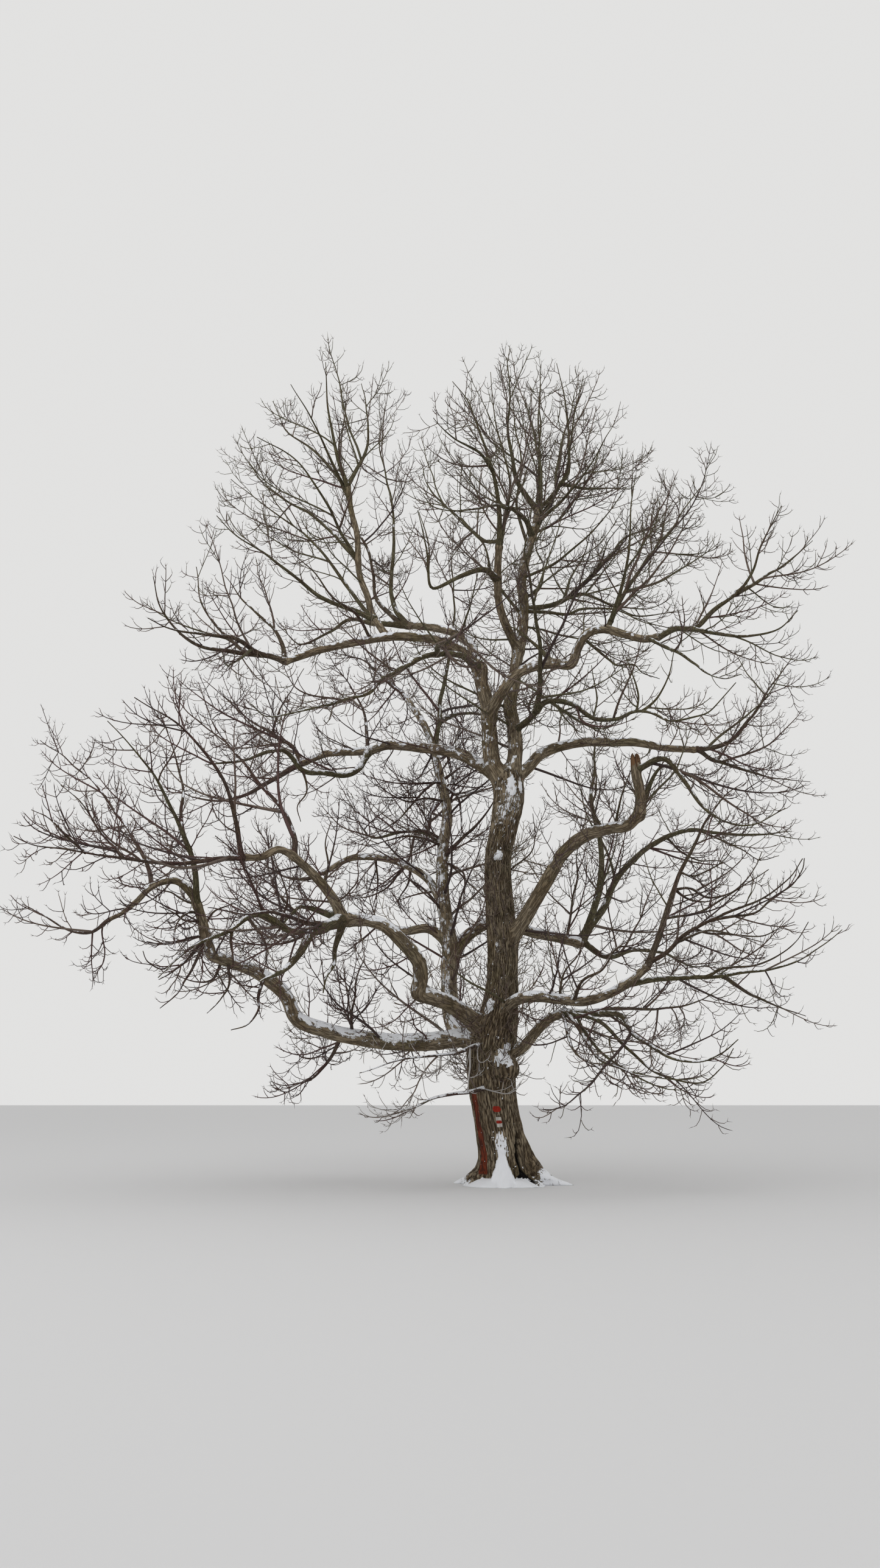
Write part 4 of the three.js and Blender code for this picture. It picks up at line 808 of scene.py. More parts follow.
growth = {
    "trunkStep": 0.1,              # from ring to ring
    "boughStep": 0.021,
    "limbStep": 0.05,
    "touching": 0.02,              # a limb that starts nearer than this to its parent's end carries it on
    "carriedOn": 0.35,             # how far it keeps its parent's thickness
    "collarSwell": 0.3,
    "collarReach": 1.6,            # in radii
    "limbTaper": 1.25,             # above 1, limbs thin out early
    "thickTaper": 0.7,             # the same for limbs thicker at the root than this many centimetres
    "thickFrom": 5.2,
    "tipRadius": 0.55,             # centimetres
    "wobble": 0.028,               # how far a limb strays from its course
    "wobbleLength": 0.42,
    "wobbleFrom": 0.3,             # how far from its root it strays that far
    "firstThin": 20,               # the number of the first thin limb
}


def growLimb(name, parent, course, rootRadius, tipRadius, step, wobble=0.0):
    places = np.array([deepened(place) for place in course])
    places[0] = nearestPlace(parent, places[0])
    points = evenlySpaced(places, step)
    reached = reachedAlong(points)
    share = reached / reached[-1]
    if wobble:
        seed = sum(ord(letter) for letter in name)
        room = np.minimum(1, reached / growth["wobbleFrom"])[:, None]
        stray = [lineNoise(reached / growth["wobbleLength"], seed + axis, 0.3, 0.7) for axis in range(3)]
        points = points + np.stack(stray, axis=1) * wobble * room
    power = growth["thickTaper" if rootRadius > growth["thickFrom"] else "limbTaper"] if wobble else 1
    radii = (tipRadius + (rootRadius - tipRadius) * (1 - share) ** power) * cm
    if np.linalg.norm(places[0] - parent.points[-1]) > growth["touching"]:
        collar = np.exp(-reached / (growth["collarReach"] * rootRadius * cm))
        radii = radii * (1 + growth["collarSwell"] * collar)
    else:
        radii = radii + max(0, parent.radii[-1] - radii[0]) * np.exp(-reached / growth["carriedOn"])
    return Limb(name, points, radii, parent)


def growTrunk():
    course = np.array(trunkCourse, dtype=float) * cm
    points = evenlySpaced(course[:, :3], growth["trunkStep"])
    return Limb("trunk", points, np.interp(points[:, 2], course[:, 2], course[:, 3]), None)


def growMassLimb(name, parent, course, rootRadius):
    return growLimb(name, parent, course, rootRadius,
                    growth["tipRadius"], growth["limbStep"], growth["wobble"])


limbs = {"trunk": growTrunk()}
for name, parentName, rootRadius, tipRadius, course in boughs:
    limbs[name] = growLimb(name, limbs[parentName], course, rootRadius, tipRadius, growth["boughStep"])

massLimbs = []                                         # (mass, limb number, limb)
for name, parentName, courses in masses:
    stem = None
    for i, (rootRadius, course) in enumerate(courses):
        grown = growMassLimb(f"{name}_{i}", stem or limbs[parentName], course, rootRadius)
        stem = stem or grown
        massLimbs.append((name, i, grown))

parents = {**limbs, **{grown.name: grown for _, _, grown in massLimbs}}
courses = [(name, parentName, course[0], courseRead(*course[1:]))
           for name, parentName, rows in thinLimbs for course in rows]
for i, (name, parentName, rootRadius, course) in enumerate(courses + [frontLimb]):
    grown = growMassLimb(f"{name}_extra_{i}", parents[parentName], course, rootRadius)
    massLimbs.append((name, growth["firstThin"] + i, grown))
everyLimb = list(limbs.values()) + [grown for _, _, grown in massLimbs]
print("limbs grown:", len(limbs), "boughs and trunk,", len(massLimbs), "limbs in", len(masses), "masses")


class Shape:                                           # gathers closed bodies into one mesh
    def __init__(self):
        self.vertices, self.quads, self.triangles = [], [], []
        self.marks = {}
        self.count = 0

    def add(self, vertices, quads, triangles, tints=(0, 0), marks=None):   # tints of quads and triangles
        for name, values in (marks or {}).items():
            self.marks.setdefault(name, []).append((self.count, np.asarray(values)))
        self.vertices.append(vertices)
        for rows, faces, tint, kept in zip((quads, triangles), (4, 3), tints, (self.quads, self.triangles)):
            kept.append((np.asarray(rows, dtype=np.int64).reshape(-1, faces) + self.count, tint))
        self.count += len(vertices)

    def place(self, name, finishes, nodes, slot):
        quads = np.concatenate([rows for rows, _ in self.quads])
        triangles = np.concatenate([rows for rows, _ in self.triangles])
        everyRow = self.quads + self.triangles
        tints = np.concatenate([np.broadcast_to(tint, len(rows)) for rows, tint in everyRow])
        mesh = bpy.data.meshes.new(name)
        mesh.vertices.add(self.count)
        mesh.vertices.foreach_set("co", np.concatenate(self.vertices).astype(np.float32).ravel())
        corners = np.concatenate([quads.ravel(), triangles.ravel()]).astype(np.int32)
        mesh.loops.add(len(corners))
        mesh.loops.foreach_set("vertex_index", corners)
        starts = np.concatenate([np.arange(len(quads)) * 4, len(quads) * 4 + np.arange(len(triangles)) * 3])
        mesh.polygons.add(len(starts))
        mesh.polygons.foreach_set("loop_start", starts.astype(np.int32))
        mesh.polygons.foreach_set("material_index", tints.astype(np.int32))
        mesh.update(calc_edges=True)
        mesh.shade_smooth()
        for mark, parts in self.marks.items():
            values = np.zeros((self.count, parts[0][1].ndim * 2 - 1), dtype=np.float32)
            for start, part in parts:
                values[start:start + len(part)] = part.reshape(len(part), -1)
            kind, field = ("FLOAT_VECTOR", "vector") if values.shape[1] == 3 else ("FLOAT", "value")
            mesh.attributes.new(mark, kind, "POINT").data.foreach_set(field, values.ravel())
        for finish in finishes:
            mesh.materials.append(finish)
        piece = bpy.data.objects.new(name, mesh)
        bpy.context.collection.objects.link(piece)
        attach(piece, "root")
        if nodes:
            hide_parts(*nodes)
        return len(quads) * 2 + len(triangles)


def anglesAround(around):
    return np.arange(around) * 2 * math.pi / around


def ringsAround(rings, around):                        # each vertex's angle and its ring's number
    return np.tile(anglesAround(around), rings), np.repeat(np.arange(rings), around)


def ringFaces(rings, around):                          # quads of a tube, then fans to a root and a tip vertex
    k = np.arange(around)
    after = (k + 1) % around
    low = (np.arange(rings - 1) * around)[:, None]
    quads = np.stack([low + k, low + after, low + around + after, low + around + k], axis=-1)
    root, tip = rings * around, rings * around + 1
    last = (rings - 1) * around
    fans = np.concatenate([
        np.stack([after, k, np.full(around, root)], axis=-1),
        np.stack([last + k, last + after, np.full(around, tip)], axis=-1)])
    return quads.reshape(-1, 4), fans


# bark

bark = {
    "ridgeWidth": 0.034,           # at the trunk's mean radius; narrower where it is thinner
    "plateLength": 0.36,
    "sway": (1.9, 0.8),            # how far ridges wind, and how far they wind in small
    "fissure": 0.42,               # share of a ridge that is fissure
    "relief": 0.013,
    "reliefFrom": 0.6,             # where between fissure and plate the wood's own surface is
    "grainAlong": 0.17,            # the finish is drawn this short along the wood
    "grainShift": (0.03, 1.7),     # how far it strays across the wood, and how often
    "lumps": [(0.05, 0.3, 5), (0.045, 0.08, 6)],       # height in radii, size and seed
    "limbRidge": 0.85,
    "boughSide": 0.019,            # a side of a bough's rings
    "limbSide": 0.024,
    "bluntFrom": 0.03,             # a limb's end is round when it is thicker than this
    "endRise": 0.3,                # how far a tube's last vertex stands out, in radii
    "boughSeeds": (200, 10),       # the first bough's seed and the step to the next
    "limbSeeds": (700, 5),
}
roundEnd = {                                           # the last rings of a round end, in radii
    "beyond": np.array([0.35, 0.62, 0.8]),
    "thinned": np.array([0.9, 0.68, 0.36]),
}


def grainOf(angles, along, radii, seed):               # a place on the wood, for the finish
    far, often = bark["grainShift"]
    shift = lineNoise(along * often, seed) * far
    x, y = np.cos(angles) * radii + shift, np.sin(angles) * radii
    return np.stack([x, y, along * bark["grainAlong"] + seed], axis=1)


def barkRidges(angles, along, radii, seed):            # 1 on a plate, 0 in a fissure
    width, plate, (wide, small) = bark["ridgeWidth"], bark["plateLength"], bark["sway"]
    around = round(2 * math.pi * float(np.mean(radii)) / width)
    places = np.stack([np.cos(angles) * radii, np.sin(angles) * radii, along * 0.3], axis=1) / (1.9 * width)
    valley = np.ones(len(angles))
    for turn, first in ((1, seed), (-1, seed + 2)):
        sway = wide * softNoise(places, first) + small * softNoise(places * 2.3, first + 1)
        wave = np.sin(around / 2 * angles + turn * math.pi * along / plate + sway)
        valley = np.minimum(valley, np.abs(wave))
    return 1 - np.exp(-(valley / bark["fissure"]) ** 2)


def gapTo(limb, points, spot, reach):                  # from each point to the limb's surface, near that spot
    near = np.where(np.linalg.norm(limb.points - spot, axis=1) < reach)[0]
    if len(near) < 2:
        return np.full(len(points), np.inf)
    first, last = max(near[0] - 1, 0), min(near[-1] + 2, len(limb.points))
    starts = limb.points[first:last - 1]
    runs = np.diff(limb.points[first:last], axis=0)
    offset = points[:, None] - starts
    shares = np.clip(np.sum(offset * runs, axis=2) / np.sum(runs * runs, axis=1), 0, 1)
    apart = np.linalg.norm(offset - runs * shares[..., None], axis=2)
    thick = limb.radii[first:last - 1] + np.diff(limb.radii[first:last]) * shares
    return np.min(apart - thick, axis=1)


joints = {                                             # how wood flows from limb to limb
    "softness": 0.8,               # how broadly, in radii
    "most": 0.11,
    "girthAt": 0.2,                # how far along a limb its radius is taken
    "trunkGirth": 0.3,
    "sameSpot": 0.5,               # limbs of one parent meet when their roots are nearer than this
    "atOnce": 4000,                # vertices measured together
}


def girthOf(limb):
    return np.interp(joints["girthAt"], limb.distances, limb.radii) if limb.parent else joints["trunkGirth"]


def joinsOf(limb):                                     # (other limb, place, reach, softness) where wood meets
    found = []
    for other in everyLimb:
        siblings = limb.parent and other.parent is limb.parent
        if other is limb or not (other.parent is limb or limb.parent is other or siblings):
            continue
        spot = (other if other.parent is limb else limb).points[0]
        if siblings and np.linalg.norm(spot - other.points[0]) > joints["sameSpot"]:
            continue
        radius = min(girthOf(limb), girthOf(other))
        reach = 2.6 * max(limb.radii[0], other.radii[0], 0.05) + 3 * radius
        found.append((other, spot, reach, min(joints["most"], joints["softness"] * radius)))
    return found


def flowTogether(limb, vertices, outward):             # swells the surface where another limb's is near
    for other, spot, reach, softness in joinsOf(limb):
        near = np.where(np.linalg.norm(vertices - spot, axis=1) < reach)[0]
        if not len(near):
            continue
        for part in np.array_split(near, max(1, len(near) // joints["atOnce"])):
            gap = np.abs(gapTo(other, vertices[part], spot, reach + 0.1))
            swell = np.where(gap < softness, (softness - gap) ** 2 / (4 * softness), 0)
            vertices[part] += outward[part] * swell[:, None]
    return vertices


snowRule = {
    "usual": 0.25,                 # how much of the upper side snow covers
    "thickness": 0.10,             # as a share of the limb's radius
    "most": 0.012,
    "patches": [(0.5, 0.16, 91), (0.25, 0.045, 92)],   # weight, size and seed
    "patchy": 1.2,
    "steepest": 1.05,              # more of this leaves more of the flanks bare
    "edge": (-0.5, 0.3),           # how gradually it thins out down a limb's flank
    "mostCover": 0.66,             # below 1, bark shows through in specks
    "limbs": {
        "low_left_bough": 0.75, "elbow_bough": 0.6, "back_stem": 0.5, "high_left_bough": 0.5,
        "middle_left_bough": 0.5, "fork_right_bough": 0.45, "low_left_arch": 0.5, "arch_bough": 0.3,
        "lowest_right_bough": 0.5, "low_right_bough": 0.45, "crossing_bough": 0.6, "upper_left_bough": 0.5,
        "front_low": 0.9, "lowest_right_0": 0.5, "middle_left_spur_0": 0.55,
    },
    "plastered": {                 # blown against the flanks
        "back_stem": 0.62, "low_left_bough": 0.72, "elbow_bough": 0.55, "middle_left_bough": 0.4,
        "high_left_bough": 0.4, "fork_right_bough": 0.4, "low_right_bough": 0.35, "high_right_bough": 0.45,
        "crossing_bough": 0.6, "leader": 0.4, "left_stem": 0.45, "middle_left_arch": 0.5,
    },
    "wind": (-0.5, -0.75, 0.45),   # how much each direction's side takes
    "speckle": [(0.4, 0.09, 93), (0.4, 0.04, 94)],
    "mostPlaster": 0.46,
    "plasterEdge": (-0.2, 0.7),
}


def snowOn(limb, vertices, outward):
    rule = snowRule
    amounts = [share for start, share in rule["limbs"].items() if limb.name.startswith(start)]
    amount = amounts[0] if amounts else rule["usual"]
    patches = layered(vertices, rule["patches"])
    lying = outward[:, 2] + rule["patchy"] * patches - rule["steepest"] + amount
    cover = rule["mostCover"] * smooth(lying, *rule["edge"])
    blown = rule["plastered"].get(limb.name, 0)
    if blown:
        x, y, z = rule["wind"]
        side = x * outward[:, 0] + y * outward[:, 1] + z * outward[:, 2]
        stuck = smooth(side + layered(vertices, rule["speckle"]) + blown - 1.0, *rule["plasterEdge"])
        cover = np.maximum(cover, rule["mostPlaster"] * stuck)
    return cover


def rounded(points, tangents, sides, radii):           # with the rings of a round end added
    more = len(roundEnd["beyond"])
    points = np.vstack([points, points[-1] + tangents[-1] * (roundEnd["beyond"] * radii[-1])[:, None]])
    tangents = np.vstack([tangents, np.repeat(tangents[-1:], more, axis=0)])
    sides = np.vstack([sides, np.repeat(sides[-1:], more, axis=0)])
    return points, tangents, sides, np.concatenate([radii, radii[-1] * roundEnd["thinned"]])


splinters = {                                          # a broken end
    "length": 0.14,
    "depth": 0.13,
    "usual": 0.35,                 # how far it is pulled out, as a share of that depth
    "unevenness": 0.5,
    "raw": (0.10, 0.05),           # how far from the end its bark gives way to wood
    "rawUneven": 0.05,
}


def barkTube(shape, limb, sideLength, seed, torn=False, tint=0):
    around = max(6, round(2 * math.pi * float(np.mean(limb.radii)) / sideLength))
    points, tangents, sides, radii = limb.points, limb.tangents, limb.sides, limb.radii
    if torn or radii[-1] > bark["bluntFrom"]:
        points, tangents, sides, radii = rounded(points, tangents, sides, radii)
    angles, ring = ringsAround(len(points), around)
    along, thick = reachedAlong(points)[ring], radii[ring]
    across = np.cross(tangents, sides)
    outward = sides[ring] * np.cos(angles)[:, None] + across[ring] * np.sin(angles)[:, None]
    base = points[ring] + outward * thick[:, None]
    vertices = base + outward * (thick * layered(base, bark["lumps"], seed))[:, None]
    vertices = flowTogether(limb, vertices, outward)
    snow, raw = snowOn(limb, vertices, outward), np.zeros(len(vertices))
    vertices[:, 2] += snow * np.minimum(snowRule["most"], snowRule["thickness"] * thick)
    if torn:
        end, (rawFrom, rawTo) = along[-1], splinters["raw"]
        splinter = lineNoise(angles * 3, seed + 8)
        pulled = smooth(along, end - splinters["length"], end)
        pulled *= splinters["unevenness"] * splinter + splinters["usual"]
        vertices += tangents[ring] * (pulled * splinters["depth"])[:, None]
        raw = smooth(along + splinters["rawUneven"] * splinter, end - rawFrom, end - rawTo)
        snow = snow * (1 - raw)
    ends = np.stack([points[0], points[-1] + tangents[-1] * radii[-1] * bark["endRise"]])
    grain = grainOf(angles, along, thick, seed)
    marks = {"snow": np.append(snow, [0, 0]), "raw": np.append(raw, [0, 0]),
             "ridge": np.full(len(vertices) + 2, bark["limbRidge"]),
             "grain": np.vstack([grain, grain[:1], grain[-1:]])}
    shape.add(np.vstack([vertices, ends]), *ringFaces(len(points), around), (tint, tint), marks)


# trunk

trunkLook = {
    "around": 196,
    "ringStep": 0.0142,
    "courseStep": 0.02,
    "evenedOver": 25,              # rings that the radius is evened out over
    "flareBlend": 0.022,
    "toeSharpness": 1.5,
    "toeHeights": [-6, 2, 9, 20, 36, 62],              # centimetres
    "toeShares": [1.02, 0.84, 0.62, 0.44, 0.30, 0.16], # how far out a toe's middle is at those heights
    "toeThinning": 0.55,
    "toeThins": (0.18, 0.87),      # at what share out that begins, and over how much it comes
    "toeSway": 0.16,
    "toeSwayOften": 4,
    "toeSeed": 40,
    "toeFade": 0.8,                # how fast a toe sinks into the trunk above its rise
    "toeFarthest": 1.2,
    "lumps": [(0.045, 0.34, 11), (0.022, 0.11, 12)],   # height in radii, size and seed
    "grain": [(0.5, 0.035, 15), (0.3, 0.015, 16)],     # weight, size and seed
    "burrs": [                     # height, bearing to the right of the viewer's side, size, stand
        (1.46, 39, 0.20, 0.13), (1.60, 8, 0.12, 0.04), (1.30, 22, 0.14, 0.03), (2.02, -28, 0.10, 0.03),
        (2.10, -36, 0.13, 0.05), (2.30, -30, 0.08, 0.03), (3.30, 60, 0.10, 0.03), (4.34, -4, 0.09, 0.03),
        (1.75, 150, 0.14, 0.05), (2.6, 200, 0.11, 0.03), (1.1, 240, 0.13, 0.03), (3.9, -110, 0.09, 0.03)],
    "stripFades": (0.05, 0.12),    # over how much a strip starts at its foot and ends at its top
    "stripCore": 0.55,             # share of its width that is all strip
    "rawStrip": [(1.24, -60), (0.80, -62), (0.50, -59), (0.14, -52)],      # height and bearing
    "rawWidth": 0.072,
    "rawRagged": [(0.28, 0.13, 13)],
    "rawDepth": 0.015,
    # the hollow split's course; its inside is dented in and painted near-black as painted shade
    "hollow": [(0.86, 56), (0.40, 37), (0.04, 41)],
    "hollowWidths": ([0.1, 0.5, 0.8], [0.062, 0.048, 0.014]),              # heights, then widths there
    "hollowRagged": [(0.4, 0.1, 14)],
    "hollowDepth": 0.12,
    "paleMark": (0.79, 1, 0.062, 0.036),               # height, bearing, half its height and width
    "redMark": (0.79, 1, 0.020, 0.037),
    "redBlotch": (0.95, 1, 0.045, 0.062),
    "drawnThick": (0.2, 0.1),      # its ridges and its grain are drawn for at least this radius
    "drawnSeeds": (7, 3),
    "topRise": 0.02,
}

trunkSnow = {
    "windward": -4,                # bearing of the side that it was blown against
    "wedgeTop": 0.52,
    "wedgeHalves": [0.62, 0.02],   # half its width at the ground and at its top, in radians
    "wedgeRagged": (0.06, 0.05),   # its edges at the sides and at the top
    "wedgeCore": 0.55,             # share of its half width that is all snow
    "wedgeFade": 0.12,
    "wedgeReach": 0.17,
    "plasterMost": 0.75,           # a thin patch above the wedge
    "plasterWidth": (0.14, 0.36),
    "plasterLevels": (0.3, 0.44, 0.6, 0.74),
    "pockets": [                   # height, bearing, tall, wide, how much it covers
        (4.34, -2, 0.09, 0.07, 1), (5.36, 8, 0.20, 0.07, 0.7), (5.10, 4, 0.46, 0.20, 0.38),
        (5.34, 44, 0.12, 0.05, 0.7), (1.60, 22, 0.14, 0.12, 0.7), (2.28, -36, 0.13, 0.08, 1),
        (1.95, -75, 0.08, 0.14, 0.8), (1.74, 36, 0.08, 0.08, 0.6), (3.1, -20, 0.2, 0.05, 0.35)],
    "pocketDepth": 0.015,
    "speckMost": 0.56,
    "speckSize": 0.05,
    "blownLevels": (3.9, 5.0),     # more of them higher up
    "blownWidth": (0.8, 1.4),
    "toeMost": 0.66,
    "toeSpread": (0.42, 0.56),
    "toeLevels": (0.18, 0.34),
    "depth": 0.004,                # wherever it lies
    "driftHeight": 0.10,           # how high snow lies between the toes
    "driftReach": 0.40,
    "driftBlown": 0.26,            # how much further it reaches on the windward side
}


def turned(angles, bearing):                           # angle from a bearing, wrapped to half a turn each way
    return (angles - np.radians(bearing - 90) + math.pi) % (2 * math.pi) - math.pi


def flareRadius(angles, heights, radii):               # the trunk's radius with its root toes
    look, (thinFrom, thinOver) = trunkLook, trunkLook["toeThins"]
    total = np.exp(radii / look["flareBlend"])
    share = np.interp(heights / cm, look["toeHeights"], look["toeShares"])
    thinning = 1 - look["toeThinning"] * np.clip((share - thinFrom) / thinOver, 0, 1)
    sunk = np.maximum(0, heights - rootToeRise * cm) * look["toeFade"]
    for bearing, reach, thickness in rootToes:
        middle, thick = share * reach * cm, thickness * cm * thinning
        sway = look["toeSway"] * lineNoise(middle * look["toeSwayOften"], look["toeSeed"], bearing)
        away = turned(angles, bearing + 90) + sway
        lobe = middle + thick - look["toeSharpness"] * (middle * np.sin(away)) ** 2 / thick
        lobe = np.where(np.cos(away) > 0, lobe, 0) - sunk
        total += np.exp(np.minimum(lobe, look["toeFarthest"]) / look["flareBlend"])
    return look["flareBlend"] * np.log(total)


def spotOn(angles, heights, radii, height, bearing, tall, wide):   # 1 at a spot's middle, 0 past its edge
    across = turned(angles, bearing) * radii / wide
    up = (heights - height) / tall
    return np.clip(1 - across ** 2 - up ** 2, 0, 1)


def boxOn(angles, heights, radii, height, bearing, tall, wide):    # the same for a patch with straight sides
    across = np.abs(turned(angles, bearing)) * radii / wide
    up = np.abs(heights - height) / tall
    return np.clip(1.5 - np.maximum(across, up), 0, 1)


def stripOn(angles, heights, radii, course, width):    # 1 along a strip down the trunk
    look, (levels, bearings) = trunkLook, zip(*course[::-1])
    foot, top, (footFade, topFade) = levels[0], levels[-1], look["stripFades"]
    away = np.abs(turned(angles, np.interp(heights, levels, bearings))) * radii
    ends = smooth(heights, foot - footFade, foot + footFade) * (1 - smooth(heights, top - topFade, top))
    return (1 - smooth(away, look["stripCore"] * width, width)) * ends


def trunkRings():                                      # height, middle and radius of every ring
    look, course = trunkLook, np.array(trunkCourse, dtype=float) * cm
    top, window = course[-1, 2], look["evenedOver"]
    heights = np.linspace(0, top, round(top / look["ringStep"]))
    levels = np.concatenate([heights, top + roundEnd["beyond"] * course[-1, 3]])
    line = evenlySpaced(course[:, :3], look["courseStep"])
    middles = np.stack([np.interp(levels, line[:, 2], line[:, axis]) for axis in range(2)], axis=1)
    radii = np.interp(levels, course[:, 2], course[:, 3])
    radii = np.convolve(np.pad(radii, window // 2, "edge"), np.ones(window) / window, "valid")
    radii[-3:] *= roundEnd["thinned"]
    return levels, middles, radii


def wedgeOf(front, high, grain):                       # blown up against the foot
    rule, top, (aside, above) = trunkSnow, trunkSnow["wedgeTop"], trunkSnow["wedgeRagged"]
    half = np.interp(high, [0, top], rule["wedgeHalves"])
    wedge = 1 - smooth(np.abs(front) + aside * grain, rule["wedgeCore"] * half, half)
    return wedge * (1 - smooth(high + above * grain, top - rule["wedgeFade"], top))


def plasterOf(front, high, grain, ridge):
    rule, (low, full, thin, top) = trunkSnow, trunkSnow["plasterLevels"]
    plaster = rule["plasterMost"] * (1 - smooth(np.abs(front), *rule["plasterWidth"]))
    plaster = plaster * smooth(high, low, full) * (1 - smooth(high, thin, top))
    return smooth(plaster + 0.5 * grain - 0.6 * ridge, 0.1, 0.3)


def pocketsOf(skin, grain, ridge):                     # in forks, below burrs and on them
    pockets = np.zeros(len(grain))
    for *spot, amount in trunkSnow["pockets"]:
        here = spotOn(*skin, *spot)
        ragged = here + (0.9 * grain - 0.4 * ridge + 0.1) * (here > 0)
        pockets = np.maximum(pockets, amount * smooth(ragged, 0.05, 0.5))
    return pockets


def specklesOf(front, high, base, grain, ridge):
    rule = trunkSnow
    rough = 0.6 * softNoise(base / rule["speckSize"], 17) + 0.5 * grain - 0.45 * ridge
    blown = smooth(high, *rule["blownLevels"]) * (1 - smooth(np.abs(front), *rule["blownWidth"]))
    return rule["speckMost"] * smooth(rough + 0.4 * blown, 0.3, 0.65)


def driftOf(front, high, outward, grain):              # how far out snow lies round the foot, and its slope
    rule = trunkSnow
    slope = np.clip(1 - (high + 0.02 * grain) / rule["driftHeight"], 0, 1)
    blown = rule["driftBlown"] * (0.35 + 0.65 * smooth(np.cos(front), -0.2, 0.8))
    return rule["driftReach"] * (1 + 0.12 * softNoise(outward * 2.2, 18)) + blown * slope ** 1.3, slope


def snowOnTrunk(skin, base, outward, spread, ridge, hollow, grain):   # cover, depth, drift's reach and slope
    rule, (angles, high, _) = trunkSnow, skin
    front = turned(angles, rule["windward"])
    wedge, pockets = wedgeOf(front, high, grain), pocketsOf(skin, grain, ridge)
    lying, slope = driftOf(front, high, outward, grain)
    bank = smooth(lying - spread, -0.01, 0.03) * (slope > 0)
    toes = rule["toeMost"] * smooth(spread, *rule["toeSpread"]) * (1 - smooth(high, *rule["toeLevels"]))
    snow = np.clip(np.maximum.reduce([
        wedge, plasterOf(front, high, grain, ridge), pockets, specklesOf(front, high, base, grain, ridge),
        bank, toes * (1 - hollow)]), 0, 1)
    deep = wedge * rule["wedgeReach"] * (1 - high / rule["wedgeTop"]).clip(0, 1) ** 1.3
    return snow, deep + rule["pocketDepth"] * pockets + rule["depth"] * snow, lying, slope


def addTrunk():
    look = trunkLook
    levels, middles, radii = trunkRings()
    angles, ring = ringsAround(len(levels), look["around"])
    high, thick = levels[ring], radii[ring]
    skin = (angles, high, thick)
    outward = np.stack([np.cos(angles), np.sin(angles), 0 * angles], axis=1)
    flared = flareRadius(*skin)
    centre = np.column_stack([middles[ring], high])
    base = centre + outward * flared[:, None]
    (ridgeThick, grainThick), (ridgeSeed, grainSeed) = look["drawnThick"], look["drawnSeeds"]
    ridge = barkRidges(angles, high, np.maximum(thick, ridgeThick), ridgeSeed)
    raw = stripOn(*skin, look["rawStrip"], look["rawWidth"] * (1 + layered(base, look["rawRagged"])))
    gape = np.interp(high, *look["hollowWidths"]) * (1 + layered(base, look["hollowRagged"]))
    # the hollow split: dented in, kept bare of snow at the foot, and painted near-black as painted shade
    hollow = stripOn(*skin, look["hollow"], gape)
    swell = sum(stand * smooth(spotOn(*skin, height, bearing, size, size), 0, 1)
                for height, bearing, size, stand in look["burrs"])
    relief = bark["relief"] * (ridge - bark["reliefFrom"]) * (1 - raw) - look["rawDepth"] * raw
    spread = flared + thick * layered(base, look["lumps"]) + swell + relief - look["hollowDepth"] * hollow
    vertices = flowTogether(limbs["trunk"], centre + outward * spread[:, None], outward)

    grain = layered(base, look["grain"])
    snow, depth, lying, slope = snowOnTrunk(skin, base, outward, spread, ridge, hollow, grain)
    vertices += outward * depth[:, None]
    flat = np.hypot(*(vertices[:, :2] - centre[:, :2]).T)
    vertices += outward * (np.maximum(0, lying - flat) * (slope > 0) * smooth(slope, 0, 0.25))[:, None]

    pale = boxOn(*skin, *look["paleMark"]) + 0.1 * grain
    red = boxOn(*skin, *look["redMark"]) + 0.1 * grain
    blotch = smooth(spotOn(*skin, *look["redBlotch"]) + 0.35 * grain, 0.15, 0.3)
    drawn = grainOf(angles, high, np.maximum(spread, grainThick), grainSeed)
    marks = {"ridge": ridge, "snow": snow, "raw": raw, "hollow": hollow, "pale": pale,
             "red": np.maximum(red, blotch), "grain": drawn}
    ends = np.array([[*middles[0], 0], [*middles[-1], levels[-1] + look["topRise"]]])
    shape = Shape()
    shape.add(np.vstack([vertices, ends]), *ringFaces(len(levels), look["around"]),
              marks={name: np.concatenate([values, values[-2:]]) for name, values in marks.items()})
    return shape.place("trunk_bark", [barkFinish], ["trunk"], "bark")


print("trunk:", addTrunk(), "triangles")


def addBoughs():
    total, (seed, seedStep) = 0, bark["boughSeeds"]
    for count, (name, *_) in enumerate(boughs):
        shape, torn = Shape(), name == "broken_stub"
        barkTube(shape, limbs[name], bark["boughSide"], seed + seedStep * count, torn)
        total += shape.place(f"{name}_bark", [tornFinish if torn else barkFinish], [name], "bark")
    return total


print("boughs:", addBoughs(), "triangles")


# twigs

twigRule = {                                           # centimetres; the same rule as the solids'
    "firstAt": 0.2,                # share of the limb that stays bare at its root
    "spacing": 132,
    "kept": 1.0,                   # share of the twigs that grow
    "share": 0.42,                 # a twig's length as a share of the limb beyond it
    "least": 46,
    "most": 130,
    "unevenness": 0.35,
    "lean": 46,
    "leanSpread": 14,
    "sag": -0.05,
    "sweep": 0.2,
    "wander": 0.09,
    "steps": 6,
    "slenderness": 0.013,
    "leastRadius": 0.9,
    "startsAt": 0,                 # share of the limb's radius from its middle
    "checked": [1, 3, 6],          # the places along a twig that have to be clear of what is near
    "steepest": -0.7,              # no twig sets off downwards more steeply than this
    "bareBelow": 18,
    "clearOfLimbs": 3,
    "clearOfMasses": 5,
    "sided": 4,
    "parts": 2,
}

